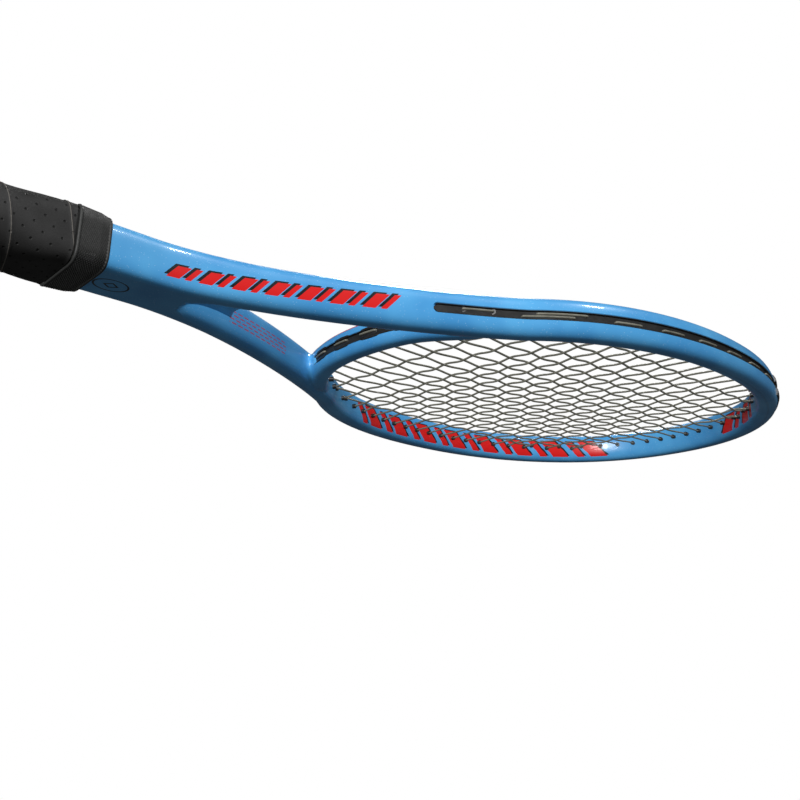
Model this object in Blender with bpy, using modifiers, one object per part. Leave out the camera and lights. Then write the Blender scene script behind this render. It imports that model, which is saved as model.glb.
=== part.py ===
"""Tennis racket: one moulded hairpin frame with its grommets, strings and built-up handle.

Every piece is laid out along the racket: +X runs from the butt to the tip, Y is across the
head and the string bed is the plane Z = 0.  An empty then sets the racket down so that the
flared butt touches the ground plane and the origin is below the middle of its length.
"""
import math

import bmesh
import bpy
from mathutils import Vector

# ---- overall, metres ----
LENGTH = 0.685
GAP = 0.0003

# ---- hoop and arms: the centre line of the tube ----
HEAD_HALF_LENGTH = 0.1757
HEAD_HALF_WIDTH = 0.124
HEAD_SQUARENESS = 2.13
BUMPER_PROUD = 0.0010
TUBE_HALF_WIDTH = 0.0070
TUBE_HALF_HEIGHT = 0.0111
TUBE_ROUNDING = 2.8
HEAD_CENTRE_X = LENGTH - BUMPER_PROUD - TUBE_HALF_WIDTH - HEAD_HALF_LENGTH
HOOP_END_ANGLE = math.radians(140)
PAST_MIDDLE = 0.06
ARM_START_PULL = 0.010
ARM_END_PULL = 0.067
SHAFT_FRONT_X = 0.181
SHAFT_LINE_Y = 0.0107
SHAFT_HALF_WIDTH = 0.0166
SHAFT_HALF_HEIGHT = 0.0113
SHAFT_ROUNDING = 3.8
SHAFT_HALF_LAP = 0.004
SPLIT_FROM_X = 0.190
SPLIT_TO_X = 0.238
SHAFT_REAR_X = 0.142
HAIRPIN_FRONT_X = 0.130
HAIRPIN_REAR_X = 0.010
HAIRPIN_HALF_WIDTH = 0.0125
HAIRPIN_HALF_HEIGHT = 0.0090

# ---- throat bridge ----
BRIDGE_BACK = 0.0050
BRIDGE_HALF_HEIGHT = 0.0088
BRIDGE_HALF_WIDTH = 0.0066
BRIDGE_START_ANGLE = math.radians(138)
BRIDGE_BLEND_ANGLE = math.radians(22)
BRIDGE_FLARE = 0.0016
BRIDGE_FLARE_FROM_Y = 0.030
BRIDGE_FLARE_SPAN = 0.030
BRIDGE_SLIM_FROM_Y = 0.060
BRIDGE_SLIM_SPAN = 0.012
BRIDGE_SLIM_OUT = 0.0036
BRIDGE_SLIM_IN = 0.0010

# ---- string groove, grommet strips and bumper guard ----
GROOVE_HALF_WIDTH = 0.0029
GROOVE_DEPTH = 0.0025
GROOVE_DRAFT = 0.93
GROOVE_FADE = 0.0030
GROOVE_END_X = 0.314
BRIDGE_GROOVE_HALF_SPAN = 0.0455
BRIDGE_STRIP_HALF_SPAN = 0.0425
STRIP_FLOOR = 0.0006
STRIP_WALL = 0.00035
STRIP_DROP = 0.0002
STRIP_END_GAP = 0.0015
SEAT_DEPTH = 0.00065
BUMPER_HALF_ANGLE = math.radians(67)
BUMPER_HALF_HEIGHT = 0.0072
BUMPER_THICKNESS = 0.0010
BUMPER_CROWN_SHARE = 0.6

# ---- strings: 16 mains and 19 crosses ----
STRING_RADIUS = 0.00065
MAIN_COUNT = 16
MAIN_PITCH = 0.0111
MAIN_SPREAD = 0.0000175
CROSS_FIRST_X = 0.3653
CROSS_REAR_PITCHES = (0.0221, 0.0195)
CROSS_PITCH = 0.01395
CROSS_MIDDLE_COUNT = 14
CROSS_FRONT_PITCHES = (0.0182, 0.0170)
STRING_LANE_Z = 0.00080
BARREL_RADIUS = 0.00130
BARREL_BORE_RADIUS = 0.00090
BARREL_HOLE_RADIUS = 0.00162
BARREL_PROTRUSION = 0.0017
BARREL_SIDES = 6
STRING_BEND = 0.0008
STRING_CORNER = 0.0006
STRING_CORNER_ANGLE = 20
LOOP_STEP = 0.009
BORE_PAST_MOUTH = 0.0020
BORE_PAST_SEAT = 0.0005

# ---- handle ----
PALLET_HALF_WIDTH = 0.0155
PALLET_HALF_HEIGHT = 0.0135
PALLET_REAR_X = 0.006
PALLET_FRONT_X = 0.1285
PALLET_STEP_X = 0.0275
PALLET_TAPER_X = 0.1150
PALLET_FRONT_HALF_WIDTH = 0.0159
PALLET_FRONT_HALF_HEIGHT = 0.0131
CAP_FIT_HALF_WIDTH = 0.0140
CAP_FIT_HALF_HEIGHT = 0.0120
CAP_REAR_WALL = 0.0030
CAP_SKIRT_X = 0.0260
CAP_LIP_HALF_WIDTH = 0.0202
CAP_LIP_HALF_HEIGHT = 0.0183
CAP_LIP_ROUND = 0.0010
OCTAGON_CUT = 0.42
SHAFT_BEVEL = 0.20
CORNER_ROUND = 0.0012
WRAP_REAR_X = 0.0045
WRAP_FRONT_X = 0.1500
WRAP_THICKNESS = 0.0018
TAPE_REAR_X = 0.1450
TAPE_FRONT_X = 0.1525
TAPE_THICKNESS = 0.0003
COLLAR_REAR_X = 0.1437
COLLAR_FRONT_X = 0.1590
COLLAR_WALL = 0.0010
COLLAR_RIM = 0.0005
COLLAR_RIM_LENGTH = 0.0014
COLLAR_RIM_SLOPE = 0.0003
DOOR_HALF_WIDTH = 0.0098
DOOR_HALF_HEIGHT = 0.0080
DOOR_PLATE = 0.0014
DOOR_SPIGOT = 0.0050
DOOR_SPIGOT_WALL = 0.0012
STAPLE_X = 0.0165
STAPLE_SPAN = 0.0090
SIDE_STAPLE_SPAN = 0.0070
START_STAPLE_X = 0.0085
START_STAPLE_SPAN = 0.0060
SEAT_OPEN = 0.0040
STAPLE_WIRE = 0.0008
STAPLE_LEG = 0.0022
PLUG_LENGTH = 0.028
PLUG_HALF_WIDTH = 0.0085
PLUG_HALF_HEIGHT = 0.0055
REST_HEIGHT = 0.0185

# the outside of the grip wrap: station X, half width, half height, corner bevel
WRAP_STATIONS = (
    (WRAP_REAR_X, 0.0204, 0.0185, OCTAGON_CUT),
    (0.0090, 0.0203, 0.0184, OCTAGON_CUT),
    (0.0150, 0.0191, 0.0172, OCTAGON_CUT),
    (0.0260, 0.0177, 0.0157, OCTAGON_CUT),
    (0.0400, 0.0175, 0.0155, OCTAGON_CUT),
    (PALLET_TAPER_X, 0.0175, 0.0155, OCTAGON_CUT),
    (0.1300, 0.0181, 0.0150, 0.36),
    (0.1428, 0.0186, 0.0142, SHAFT_BEVEL),
    (0.1436, 0.0178, 0.0125, SHAFT_BEVEL),
    (WRAP_FRONT_X, 0.0178, 0.0125, SHAFT_BEVEL),
)

# ---- fineness of the lofts ----
HOOP_STATIONS = 27
ARM_STATIONS = 11
BRIDGE_STATIONS = 12
STRIP_STATIONS = 19
BRIDGE_STRIP_STATIONS = 14
SECTION_POINTS = 16
OUTLINE_STEPS = 160
OUTLINE_SPACING = 0.0005

COLOURS = {
    "paint": ((0.075, 0.30, 0.62, 1.0), 0.25, 0.0),
    "nylon": ((0.02, 0.02, 0.02, 1.0), 0.45, 0.0),
    "string": ((0.12, 0.12, 0.10, 1.0), 0.35, 0.0),
    "foam": ((0.75, 0.70, 0.55, 1.0), 0.8, 0.0),
    "grip": ((0.03, 0.03, 0.03, 1.0), 0.75, 0.0),
    "rubber": ((0.05, 0.05, 0.05, 1.0), 0.65, 0.0),
    "tape": ((0.04, 0.04, 0.045, 1.0), 0.5, 0.0),
    "cap": ((0.03, 0.03, 0.032, 1.0), 0.4, 0.0),
    "steel": ((0.6, 0.6, 0.62, 1.0), 0.3, 1.0),
}


# ---- scene plumbing ----

def clear_scene():
    for thing in list(bpy.data.objects):
        bpy.data.objects.remove(thing, do_unlink=True)


def new_collection(name):
    group = bpy.data.collections.new(name)
    bpy.context.scene.collection.children.link(group)
    return group


def new_material(name, finish):
    colour, roughness, metallic = COLOURS[finish]
    material = bpy.data.materials.new(name)
    material.use_nodes = True
    shader = material.node_tree.nodes["Principled BSDF"]
    shader.inputs["Base Color"].default_value = colour
    shader.inputs["Roughness"].default_value = roughness
    shader.inputs["Metallic"].default_value = metallic
    return material


def finish_mesh(mesh):
    mesh.shade_smooth()
    mesh.set_sharp_from_angle(angle=math.radians(35))


def add_object(name, mesh, group, finish=None):
    thing = bpy.data.objects.new(name, mesh)
    group.objects.link(thing)
    thing.parent = ORIGIN
    if finish:
        mesh.materials.append(new_material(name, finish))
        finish_mesh(mesh)
    else:
        thing.hide_render = True
        thing.display_type = "WIRE"
    return thing


def boolean(thing, cutter, operation):
    modifier = thing.modifiers.new(operation.lower(), "BOOLEAN")
    modifier.operation = operation
    modifier.solver = "EXACT"
    modifier.object = cutter
    return modifier


def mesh_from(name, bm):
    bmesh.ops.recalc_face_normals(bm, faces=bm.faces)
    mesh = bpy.data.meshes.new(name)
    bm.to_mesh(mesh)
    bm.free()
    return mesh


def add_loft(bm, rings, closed=False):
    """Skin a list of equal rings; closed joins the last ring to the first, else both are capped."""
    rows = [[bm.verts.new(point) for point in ring] for ring in rings]
    pairs = list(zip(rows, rows[1:]))
    if closed:
        pairs.append((rows[-1], rows[0]))
    count = len(rows[0])
    for first, second in pairs:
        for i in range(count):
            j = (i + 1) % count
            bm.faces.new((first[i], first[j], second[j], second[i]))
    if not closed:
        bm.faces.new(rows[0])
        bm.faces.new(list(reversed(rows[-1])))


def loft_mesh(name, rings, closed=False):
    bm = bmesh.new()
    add_loft(bm, rings, closed)
    return mesh_from(name, bm)


def add_box(bm, low, high):
    low, high = Vector(low), Vector(high)
    made = bmesh.ops.create_cube(bm, size=1.0)
    bmesh.ops.scale(bm, vec=high - low, verts=made["verts"])
    bmesh.ops.translate(bm, vec=(low + high) / 2, verts=made["verts"])


def add_rod(bm, start, end, radius, sides=BARREL_SIDES):
    """A prism of the given number of sides from one point to another."""
    start, end = Vector(start), Vector(end)
    axis = end - start
    turn = Vector((0, 0, 1)).rotation_difference(axis).to_matrix()
    made = bmesh.ops.create_cone(bm, cap_ends=True, segments=sides, radius1=radius,
                                 radius2=radius, depth=axis.length)
    bmesh.ops.rotate(bm, cent=(0, 0, 0), matrix=turn, verts=made["verts"])
    bmesh.ops.translate(bm, vec=(start + end) / 2, verts=made["verts"])


# ---- centre lines ----

def smoothstep(value):
    value = max(0.0, min(1.0, value))
    return value * value * (3 - 2 * value)


def signed_power(value, power):
    return math.copysign(abs(value) ** power, value)


def hoop_point(angle, back=0.0):
    """Centre of the hoop tube; angle 0 is the tip and 90 degrees the widest place."""
    power = 2 / HEAD_SQUARENESS
    x = HEAD_CENTRE_X + HEAD_HALF_LENGTH * signed_power(math.cos(angle), power) - back
    y = HEAD_HALF_WIDTH * signed_power(math.sin(angle), power)
    return Vector((x, y))


def arm_point(share):
    """Centre of an arm: a Bezier curve from the end of the hoop to the shaft."""
    start = hoop_point(HOOP_END_ANGLE)
    step = 0.001
    along = (start - hoop_point(HOOP_END_ANGLE - step)).normalized()
    end = Vector((SHAFT_FRONT_X, SHAFT_LINE_Y))
    pull_a = start + along * ARM_START_PULL
    pull_b = end + Vector((ARM_END_PULL, 0))
    rest = 1 - share
    return (start * rest ** 3 + pull_a * (3 * rest * rest * share)
            + pull_b * (3 * rest * share * share) + end * share ** 3)


def even_hoop_angles(first, last, count, back=0.0):
    """Angles that part the hoop between two angles into equal lengths."""
    fine = [first + (last - first) * i / 400 for i in range(401)]
    points = [hoop_point(angle, back) for angle in fine]
    run = [0.0]
    for a, b in zip(points, points[1:]):
        run.append(run[-1] + (b - a).length)
    angles = []
    for k in range(count):
        target = run[-1] * k / (count - 1)
        i = min(range(len(run)), key=lambda n: abs(run[n] - target))
        angles.append(fine[i])
    return angles


def frame_line():
    """Half of the frame's centre line, from just past the tip down one side to the butt."""
    angles = even_hoop_angles(-PAST_MIDDLE, HOOP_END_ANGLE, HOOP_STATIONS)
    arm = [arm_point(i / ARM_STATIONS) for i in range(1, ARM_STATIONS + 1)]
    arm += groove_end_points()
    arm += [Vector((x, SHAFT_LINE_Y)) for x in (SHAFT_REAR_X, HAIRPIN_FRONT_X, HAIRPIN_REAR_X)]
    return [hoop_point(a) for a in angles] + sorted(arm, key=lambda p: -p.x)


def line_normals(points):
    """Outward normals of a line that runs from the tip towards the butt on the +Y side."""
    normals = []
    for i in range(len(points)):
        ahead = points[min(i + 1, len(points) - 1)] - points[max(i - 1, 0)]
        normals.append(Vector((ahead.y, -ahead.x)).normalized())
    return normals


# ---- frame ----

def tube_section(out, inside, half_height, rounding, depth):
    """(u, z) points of the tube: u is outward from the centre line; depth is the groove's."""
    middle = (out - inside) / 2
    half = (out + inside) / 2
    groove = GROOVE_HALF_WIDTH
    start = math.asin((groove / half_height) ** (rounding / 2))
    points = []
    for k in range(SECTION_POINTS):
        angle = start + (2 * math.pi - 2 * start) * k / (SECTION_POINTS - 1)
        u = middle + half * signed_power(math.cos(angle), 2 / rounding)
        z = half_height * signed_power(math.sin(angle), 2 / rounding)
        points.append((u, z))
    face = points[0][0]
    points.append((face - depth, -groove * GROOVE_DRAFT))
    points.append((face - depth, groove * GROOVE_DRAFT))
    return points


def frame_section(x):
    """Section of the frame tube at a station; the arms' halves part from the shaft's at the V."""
    split = smoothstep((x - SPLIT_FROM_X) / (SPLIT_TO_X - SPLIT_FROM_X))
    solid = SHAFT_LINE_Y + SHAFT_HALF_LAP
    out = TUBE_HALF_WIDTH * split + (SHAFT_HALF_WIDTH - SHAFT_LINE_Y) * (1 - split)
    inside = TUBE_HALF_WIDTH * split + solid * (1 - split)
    height = TUBE_HALF_HEIGHT * split + SHAFT_HALF_HEIGHT * (1 - split)
    rounding = TUBE_ROUNDING * split + SHAFT_ROUNDING * (1 - split)
    if x < SHAFT_REAR_X - 1e-6:
        out = HAIRPIN_HALF_WIDTH - SHAFT_LINE_Y
        height = HAIRPIN_HALF_HEIGHT
    depth = GROOVE_DEPTH * smoothstep((x - GROOVE_END_X) / GROOVE_FADE)
    return tube_section(out, inside, height, rounding, depth)


def ring_at(point, normal, section):
    return [Vector((point.x + normal.x * u, point.y + normal.y * u, z)) for u, z in section]


def groove_end_points():
    """The arm's centre points where the groove begins and is full depth."""
    shares = [i / 2000 for i in range(2001)]
    found = []
    for x in (GROOVE_END_X, GROOVE_END_X + GROOVE_FADE):
        found.append(min(shares, key=lambda s: abs(arm_point(s).x - x)))
    return [arm_point(share) for share in found]


def frame_stations():
    """(centre, outward normal) of each ring of half the frame."""
    points = frame_line()
    return list(zip(points, line_normals(points)))


def half_frame_mesh():
    rings = [ring_at(p, n, frame_section(p.x)) for p, n in frame_stations()]
    return loft_mesh("frame", rings)


def mirror_across_y(thing):
    mirror = thing.modifiers.new("mirror", "MIRROR")
    mirror.use_axis = (False, True, False)
    mirror.use_bisect_axis = (False, True, False)
    mirror.use_mirror_merge = True
    mirror.merge_threshold = 0.00005


def bridge_line(count):
    """Centre line of half the throat bridge, from inside the arm to just past the middle."""
    angles = even_hoop_angles(BRIDGE_START_ANGLE, math.pi + PAST_MIDDLE, count, BRIDGE_BACK)
    points = []
    for angle in angles:
        reach = smoothstep((angle - BRIDGE_START_ANGLE) / BRIDGE_BLEND_ANGLE)
        points.append(hoop_point(angle, BRIDGE_BACK * reach))
    return points


def bridge_stations():
    """The bridge's even stations, with one more at each step of its groove's end."""
    points = bridge_line(BRIDGE_STATIONS)
    fine = bridge_line(OUTLINE_STEPS)
    for y in (BRIDGE_GROOVE_HALF_SPAN, BRIDGE_GROOVE_HALF_SPAN + GROOVE_FADE):
        points.append(min(fine, key=lambda p, place=y: abs(p.y - place)))
    return sorted(points, key=lambda p: -p.y)


def bridge_section(y):
    """Section of the bridge: it swells towards the arm, then ends slim inside it."""
    flare = BRIDGE_FLARE * smoothstep((abs(y) - BRIDGE_FLARE_FROM_Y) / BRIDGE_FLARE_SPAN)
    fade = (BRIDGE_GROOVE_HALF_SPAN + GROOVE_FADE - abs(y)) / GROOVE_FADE
    slim = smoothstep((abs(y) - BRIDGE_SLIM_FROM_Y) / BRIDGE_SLIM_SPAN)
    out = BRIDGE_HALF_WIDTH - BRIDGE_SLIM_OUT * slim
    inside = BRIDGE_HALF_WIDTH - BRIDGE_SLIM_IN * slim
    height = BRIDGE_HALF_HEIGHT + flare * (1 - slim)
    return tube_section(out, inside, height, TUBE_ROUNDING, GROOVE_DEPTH * smoothstep(fade))


def half_bridge_mesh():
    points = bridge_stations()
    normals = line_normals(points)
    rings = [ring_at(p, n, bridge_section(p.y)) for p, n in zip(points, normals)]
    return loft_mesh("throat_bridge", rings)


# ---- string bed layout ----

def main_positions():
    """Y of each main string: evenly pitched at the middle, opening out towards the sides."""
    positions = []
    for k in range(MAIN_COUNT):
        step = k - (MAIN_COUNT - 1) / 2
        positions.append(MAIN_PITCH * step + MAIN_SPREAD * step ** 3)
    return positions


def cross_positions():
    """X of each cross string, from the throat to the tip."""
    pitches = list(CROSS_REAR_PITCHES)
    pitches += [CROSS_PITCH] * CROSS_MIDDLE_COUNT
    pitches += list(CROSS_FRONT_PITCHES)
    positions = [CROSS_FIRST_X]
    for pitch in pitches:
        positions.append(positions[-1] + pitch)
    return positions


def dense_line(points, step=OUTLINE_SPACING):
    """A line resampled so finely that nearest points on it can be picked."""
    fine = []
    for a, b in zip(points, points[1:]):
        count = max(1, int((b - a).length / step))
        fine += [a + (b - a) * (i / count) for i in range(count)]
    fine.append(points[-1])
    return fine


def hoop_outline():
    """Centre line of the whole hoop and both arms, from one arm's root round to the other's."""
    shares = [i / OUTLINE_STEPS for i in range(1, OUTLINE_STEPS + 1)]
    half = [hoop_point(HOOP_END_ANGLE * share) for share in [0.0] + shares]
    half += [p for p in map(arm_point, shares) if p.x > SPLIT_TO_X]
    other = [Vector((p.x, -p.y)) for p in reversed(half[1:])]
    return other + half


def bridge_outline():
    half = [p for p in bridge_line(OUTLINE_STEPS) if p.y > 0]
    other = [Vector((p.x, -p.y)) for p in reversed(half)]
    return half + other


def throat_side_outline():
    """The bridge and the hoop behind the widest place, as one line round the throat end."""
    steps = range(OUTLINE_STEPS // 2, OUTLINE_STEPS)
    angles = [HOOP_END_ANGLE * i / OUTLINE_STEPS for i in steps]
    half = [hoop_point(a) for a in angles] + [p for p in bridge_outline() if p.y > 0]
    other = [Vector((p.x, -p.y)) for p in reversed(half)]
    return half + other


def outline_with_normals(points):
    """Fine points and outward normals of a line that has the head on its left hand."""
    fine = dense_line(points)
    normals = []
    for i in range(len(fine)):
        ahead = fine[min(i + 2, len(fine) - 1)] - fine[max(i - 2, 0)]
        normals.append(Vector((ahead.y, -ahead.x)).normalized())
    return list(zip(fine, normals))


def outset(line, amount):
    return [p + n * amount for p, n in line]


def string_end(line, inside, outside, place, along, sign):
    """Where one end of a string leaves the bed, and where it comes out in the groove.

    place is the string's fixed coordinate, along the axis index it runs along and sign the way.
    Returns the mouth of the grommet barrel, the groove point straight behind it, and its index.
    """
    fixed = 1 - along
    mouths = outset(line, -inside - BARREL_PROTRUSION - STRING_BEND)
    grooves = outset(line, outside)
    best = None
    for i in range(1, len(mouths)):
        a, b = mouths[i - 1][fixed] - place, mouths[i][fixed] - place
        if a * b <= 0 and mouths[i][along] * sign > HEAD_MIDDLE[along] * sign:
            if best is None or mouths[i][along] * sign < mouths[best][along] * sign:
                best = i
    return mouths[best], grooves[best], best


def string_layout():
    """Every string end in order along the two strings, with the line it leaves through."""
    seat = TUBE_HALF_WIDTH - SEAT_DEPTH
    bridge_seat = seat - TUBE_HALF_WIDTH + BRIDGE_HALF_WIDTH
    ends = {}
    for m, y in enumerate(main_positions()):
        ends["main", m, 1] = ("hoop",) + string_end(HOOP, TUBE_HALF_WIDTH, seat, y, 0, 1)
        mouth = string_end(THROAT_SIDE, BRIDGE_HALF_WIDTH, seat, y, 0, -1)[0]
        if 4 <= m <= MAIN_COUNT - 5:
            grooves = outset(BRIDGE, bridge_seat)
            index = min(range(len(grooves)), key=lambda i, y=y: abs(grooves[i].y - y))
            ends["main", m, -1] = ("bridge", mouth, grooves[index], index)
        else:
            index = nearest_index(HOOP, lambda p, mouth=mouth: (p - mouth).length)
            ends["main", m, -1] = ("hoop", mouth, outset(HOOP, seat)[index], index)
    for c, x in enumerate(cross_positions()):
        for side in (-1, 1):
            ends["cross", c, side] = ("hoop",) + string_end(HOOP, TUBE_HALF_WIDTH, seat, x, 1, side)
    return ends


def loop_points(line_name, first, last):
    """Points along the groove from one hole to the next."""
    line = HOOP if line_name == "hoop" else BRIDGE
    width = TUBE_HALF_WIDTH if line_name == "hoop" else BRIDGE_HALF_WIDTH
    grooves = outset(line, width - SEAT_DEPTH)
    length = sum((grooves[i + 1] - grooves[i]).length
                 for i in range(min(first, last), max(first, last)))
    count = max(2, round(length / LOOP_STEP))
    return [grooves[round(first + (last - first) * k / count)] for k in range(count + 1)]


def string_path(kind, ends, count, first_end):
    """Points of one continuous string: a run, a loop in the groove, the next run, and so on."""
    lane = STRING_LANE_Z if kind == "main" else -STRING_LANE_Z
    path = []
    end = first_end
    for k in range(count):
        start = ends[kind, k, end]
        stop = ends[kind, k, -end]
        path.append(start[2])
        path.append(start[1])
        path.append(stop[1])
        path.append(stop[2])
        if k + 1 < count:
            onward = ends[kind, k + 1, -end]
            path += loop_points(stop[0], stop[3], onward[3])[1:-1]
        end = -end
    return [Vector((p.x, p.y, lane)) for p in path]


def rounded_path(points):
    """The same path with each sharp corner cut across, so that the tube keeps its width."""
    smooth = [points[0]]
    for before, here, after in zip(points, points[1:], points[2:]):
        back, on = (before - here), (after - here)
        if back.length < 1e-6 or on.length < 1e-6:
            continue
        turn = math.degrees(back.angle(-on))
        reach = min(STRING_CORNER, back.length / 3, on.length / 3)
        if turn > STRING_CORNER_ANGLE:
            smooth.append(here + back.normalized() * reach)
            smooth.append(here + on.normalized() * reach)
        else:
            smooth.append(here)
    smooth.append(points[-1])
    return smooth


def tube_from_path(name, points, radius, sides=6):
    """A curve tube along a poly line, made a mesh with its caps welded."""
    curve = bpy.data.curves.new(name, "CURVE")
    curve.dimensions = "3D"
    curve.bevel_depth = radius
    curve.bevel_resolution = (sides - 4) // 2
    curve.use_fill_caps = True
    spline = curve.splines.new("POLY")
    spline.points.add(len(points) - 1)
    for node, point in zip(spline.points, points):
        node.co = (point.x, point.y, point.z, 1.0)
    holder = bpy.data.objects.new(name, curve)
    bpy.context.scene.collection.objects.link(holder)
    depsgraph = bpy.context.evaluated_depsgraph_get()
    mesh = bpy.data.meshes.new_from_object(holder.evaluated_get(depsgraph))
    bpy.data.objects.remove(holder, do_unlink=True)
    bm = bmesh.new()
    bm.from_mesh(mesh)
    bmesh.ops.remove_doubles(bm, verts=bm.verts, dist=0.00001)
    return mesh_from(name, bm)


# ---- grommets and bumper ----

def barrel_ends(ends, line_name, low=0, high=math.inf):
    """(mouth, groove point, z) of the barrels on one line, between two of its indexes."""
    found = []
    for (kind, _, _), (name, mouth, seat, index) in ends.items():
        if name == line_name and low < index < high:
            z = STRING_LANE_Z if kind == "main" else -STRING_LANE_Z
            found.append((mouth, seat, z))
    return found


def add_barrels(bm, found, radius, past_mouth, past_seat):
    """One prism for each barrel, run past the mouth and past the groove seat by given lengths."""
    for mouth, seat, z in found:
        a = Vector((mouth.x, mouth.y, z))
        b = Vector((seat.x, seat.y, z))
        way = (b - a).normalized()
        add_rod(bm, a - way * past_mouth, b + way * past_seat, radius)


def strip_profile():
    """Channel section of a grommet strip, (u, z) measured from the tube's outer face."""
    outer = GROOVE_HALF_WIDTH - GAP
    inner = outer - STRIP_WALL
    base = outer * GROOVE_DRAFT
    bottom = -GROOVE_DEPTH + GAP
    floor = bottom + STRIP_FLOOR
    top = -STRIP_DROP
    return [(bottom, -base), (bottom, base), (top, outer), (top, inner),
            (floor, inner), (floor, -inner), (top, -inner), (top, -outer)]


def bumper_profile():
    """Section of the bumper guard: a channel in the groove with a flange on each side."""
    outer = GROOVE_HALF_WIDTH - GAP
    inner = outer - STRIP_WALL
    base = outer * GROOVE_DRAFT
    bottom = -GROOVE_DEPTH + GAP
    floor = bottom + STRIP_FLOOR
    edge = BUMPER_HALF_HEIGHT
    height = TUBE_HALF_HEIGHT
    lip = TUBE_HALF_WIDTH * ((1 - (edge / height) ** TUBE_ROUNDING) ** (1 / TUBE_ROUNDING) - 1)
    crown = edge * BUMPER_CROWN_SHARE
    half = [(floor, inner), (BUMPER_THICKNESS, inner), (BUMPER_THICKNESS, crown),
            (lip + BUMPER_THICKNESS, edge), (lip + GAP, edge), (GAP, crown),
            (GAP, outer), (bottom, base)]
    other = [(u, -z) for u, z in reversed(half)]
    return half + other


def sweep_profile(line, width, first, last, count, profile):
    """Loft a section along part of an outline, at its outer face."""
    rings = []
    for k in range(count):
        point, normal = line[round(first + (last - first) * k / (count - 1))]
        face = point + normal * width
        rings.append(ring_at(face, normal, profile))
    return rings


def nearest_index(line, test):
    return min(range(len(line)), key=lambda i: test(line[i][0]))


def bumper_stations():
    """The frame's own stations under half the bumper, so that the two have the same facets."""
    reach = hoop_point(BUMPER_HALF_ANGLE).x
    return [(p, n) for p, n in frame_stations() if p.x >= reach]


def bumper_span():
    last = bumper_stations()[-1][0]
    ends = [Vector((last.x, side * last.y)) for side in (-1, 1)]
    return [nearest_index(HOOP, lambda p, end=end: (p - end).length) for end in ends]


def side_strip_span(side):
    """Index range of the side strip: from near the groove's end to the bumper."""
    end = groove_end_points()[1]
    start = Vector((end.x, end.y * side))
    first = nearest_index(HOOP, lambda p: (p - start).length)
    low, high = bumper_span()
    step = round(STRIP_END_GAP / OUTLINE_SPACING)
    if side < 0:
        return first + step, low - step
    return high + step, first - step


def make_strip(name, rings, found, mirrored=False):
    """A strip lofted through its rings, with its barrels joined on and then bored."""
    thing = add_object(name, loft_mesh(name, rings), PARTS, "nylon")
    if mirrored:
        mirror_across_y(thing)
    barrels = bmesh.new()
    add_barrels(barrels, found, BARREL_RADIUS, -STRING_BEND, -GAP - STRING_RADIUS - STRIP_FLOOR / 2)
    boolean(thing, add_object(name + "_barrels", mesh_from(name, barrels), CUTTERS), "UNION")
    bores = bmesh.new()
    add_barrels(bores, found, BARREL_BORE_RADIUS, BORE_PAST_MOUTH, BORE_PAST_SEAT)
    boolean(thing, add_object(name + "_bores", mesh_from(name, bores), CUTTERS), "DIFFERENCE")


def make_grommets(ends):
    spans = {"grommet_strip_right": side_strip_span(-1), "grommet_strip_left": side_strip_span(1)}
    for name, (first, last) in spans.items():
        rings = sweep_profile(HOOP, TUBE_HALF_WIDTH, first, last, STRIP_STATIONS, strip_profile())
        make_strip(name, rings, barrel_ends(ends, "hoop", first, last))
    low, high = bumper_span()
    rings = [ring_at(p + n * TUBE_HALF_WIDTH, n, bumper_profile()) for p, n in bumper_stations()]
    make_strip("bumper_guard", rings, barrel_ends(ends, "hoop", low, high), mirrored=True)
    first = nearest_index(BRIDGE, lambda p: abs(p.y - BRIDGE_STRIP_HALF_SPAN))
    last = nearest_index(BRIDGE, lambda p: abs(p.y + BRIDGE_STRIP_HALF_SPAN))
    rings = sweep_profile(BRIDGE, BRIDGE_HALF_WIDTH, first, last, BRIDGE_STRIP_STATIONS,
                          strip_profile())
    make_strip("throat_grommet_strip", rings, barrel_ends(ends, "bridge"))


def make_strings(ends):
    paths = {"main_string": string_path("main", ends, MAIN_COUNT, 1),
             "cross_string": string_path("cross", ends, len(cross_positions()), 1)}
    for name, path in paths.items():
        mesh = tube_from_path(name, rounded_path(path), STRING_RADIUS)
        add_object(name, mesh, PARTS, "string")


def make_frame(ends):
    frame = add_object("frame", half_frame_mesh(), PARTS, "paint")
    mirror_across_y(frame)
    bridge = add_object("bridge_blank", half_bridge_mesh(), CUTTERS)
    mirror_across_y(bridge)
    boolean(frame, bridge, "UNION")
    holes = bmesh.new()
    found = barrel_ends(ends, "hoop") + barrel_ends(ends, "bridge")
    add_barrels(holes, found, BARREL_HOLE_RADIUS, 0.0, 0.0)
    boolean(frame, add_object("frame_holes", mesh_from("frame_holes", holes), CUTTERS), "DIFFERENCE")
    pocket = bmesh.new()
    around = Vector((PLUG_LENGTH, PLUG_HALF_WIDTH, PLUG_HALF_HEIGHT)) + Vector((GAP, GAP, GAP))
    rear = Vector((HAIRPIN_REAR_X, 0, 0))
    add_box(pocket, rear - around, rear + around)
    boolean(frame, add_object("frame_pocket", mesh_from("frame_pocket", pocket), CUTTERS), "DIFFERENCE")


# ---- handle ----

def octagon(x, half_width, half_height, bevel=OCTAGON_CUT):
    """A ring of 16 points: an octagon with each corner cut by a short flat.

    bevel is the height of a corner bevel as a share of the half height.
    """
    cut = bevel * half_height
    corners = [(half_width, half_height - cut), (half_width - cut, half_height)]
    corners += [(-y, z) for y, z in reversed(corners)]
    corners += [(-y, -z) for y, z in corners]
    ring = []
    for i, corner in enumerate(corners):
        here = Vector(corner)
        before = Vector(corners[i - 1])
        after = Vector(corners[(i + 1) % len(corners)])
        for other in (before, after):
            ring.append(here + (other - here).normalized() * CORNER_ROUND)
    return [Vector((x, p.x, p.y)) for p in ring]


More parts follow.
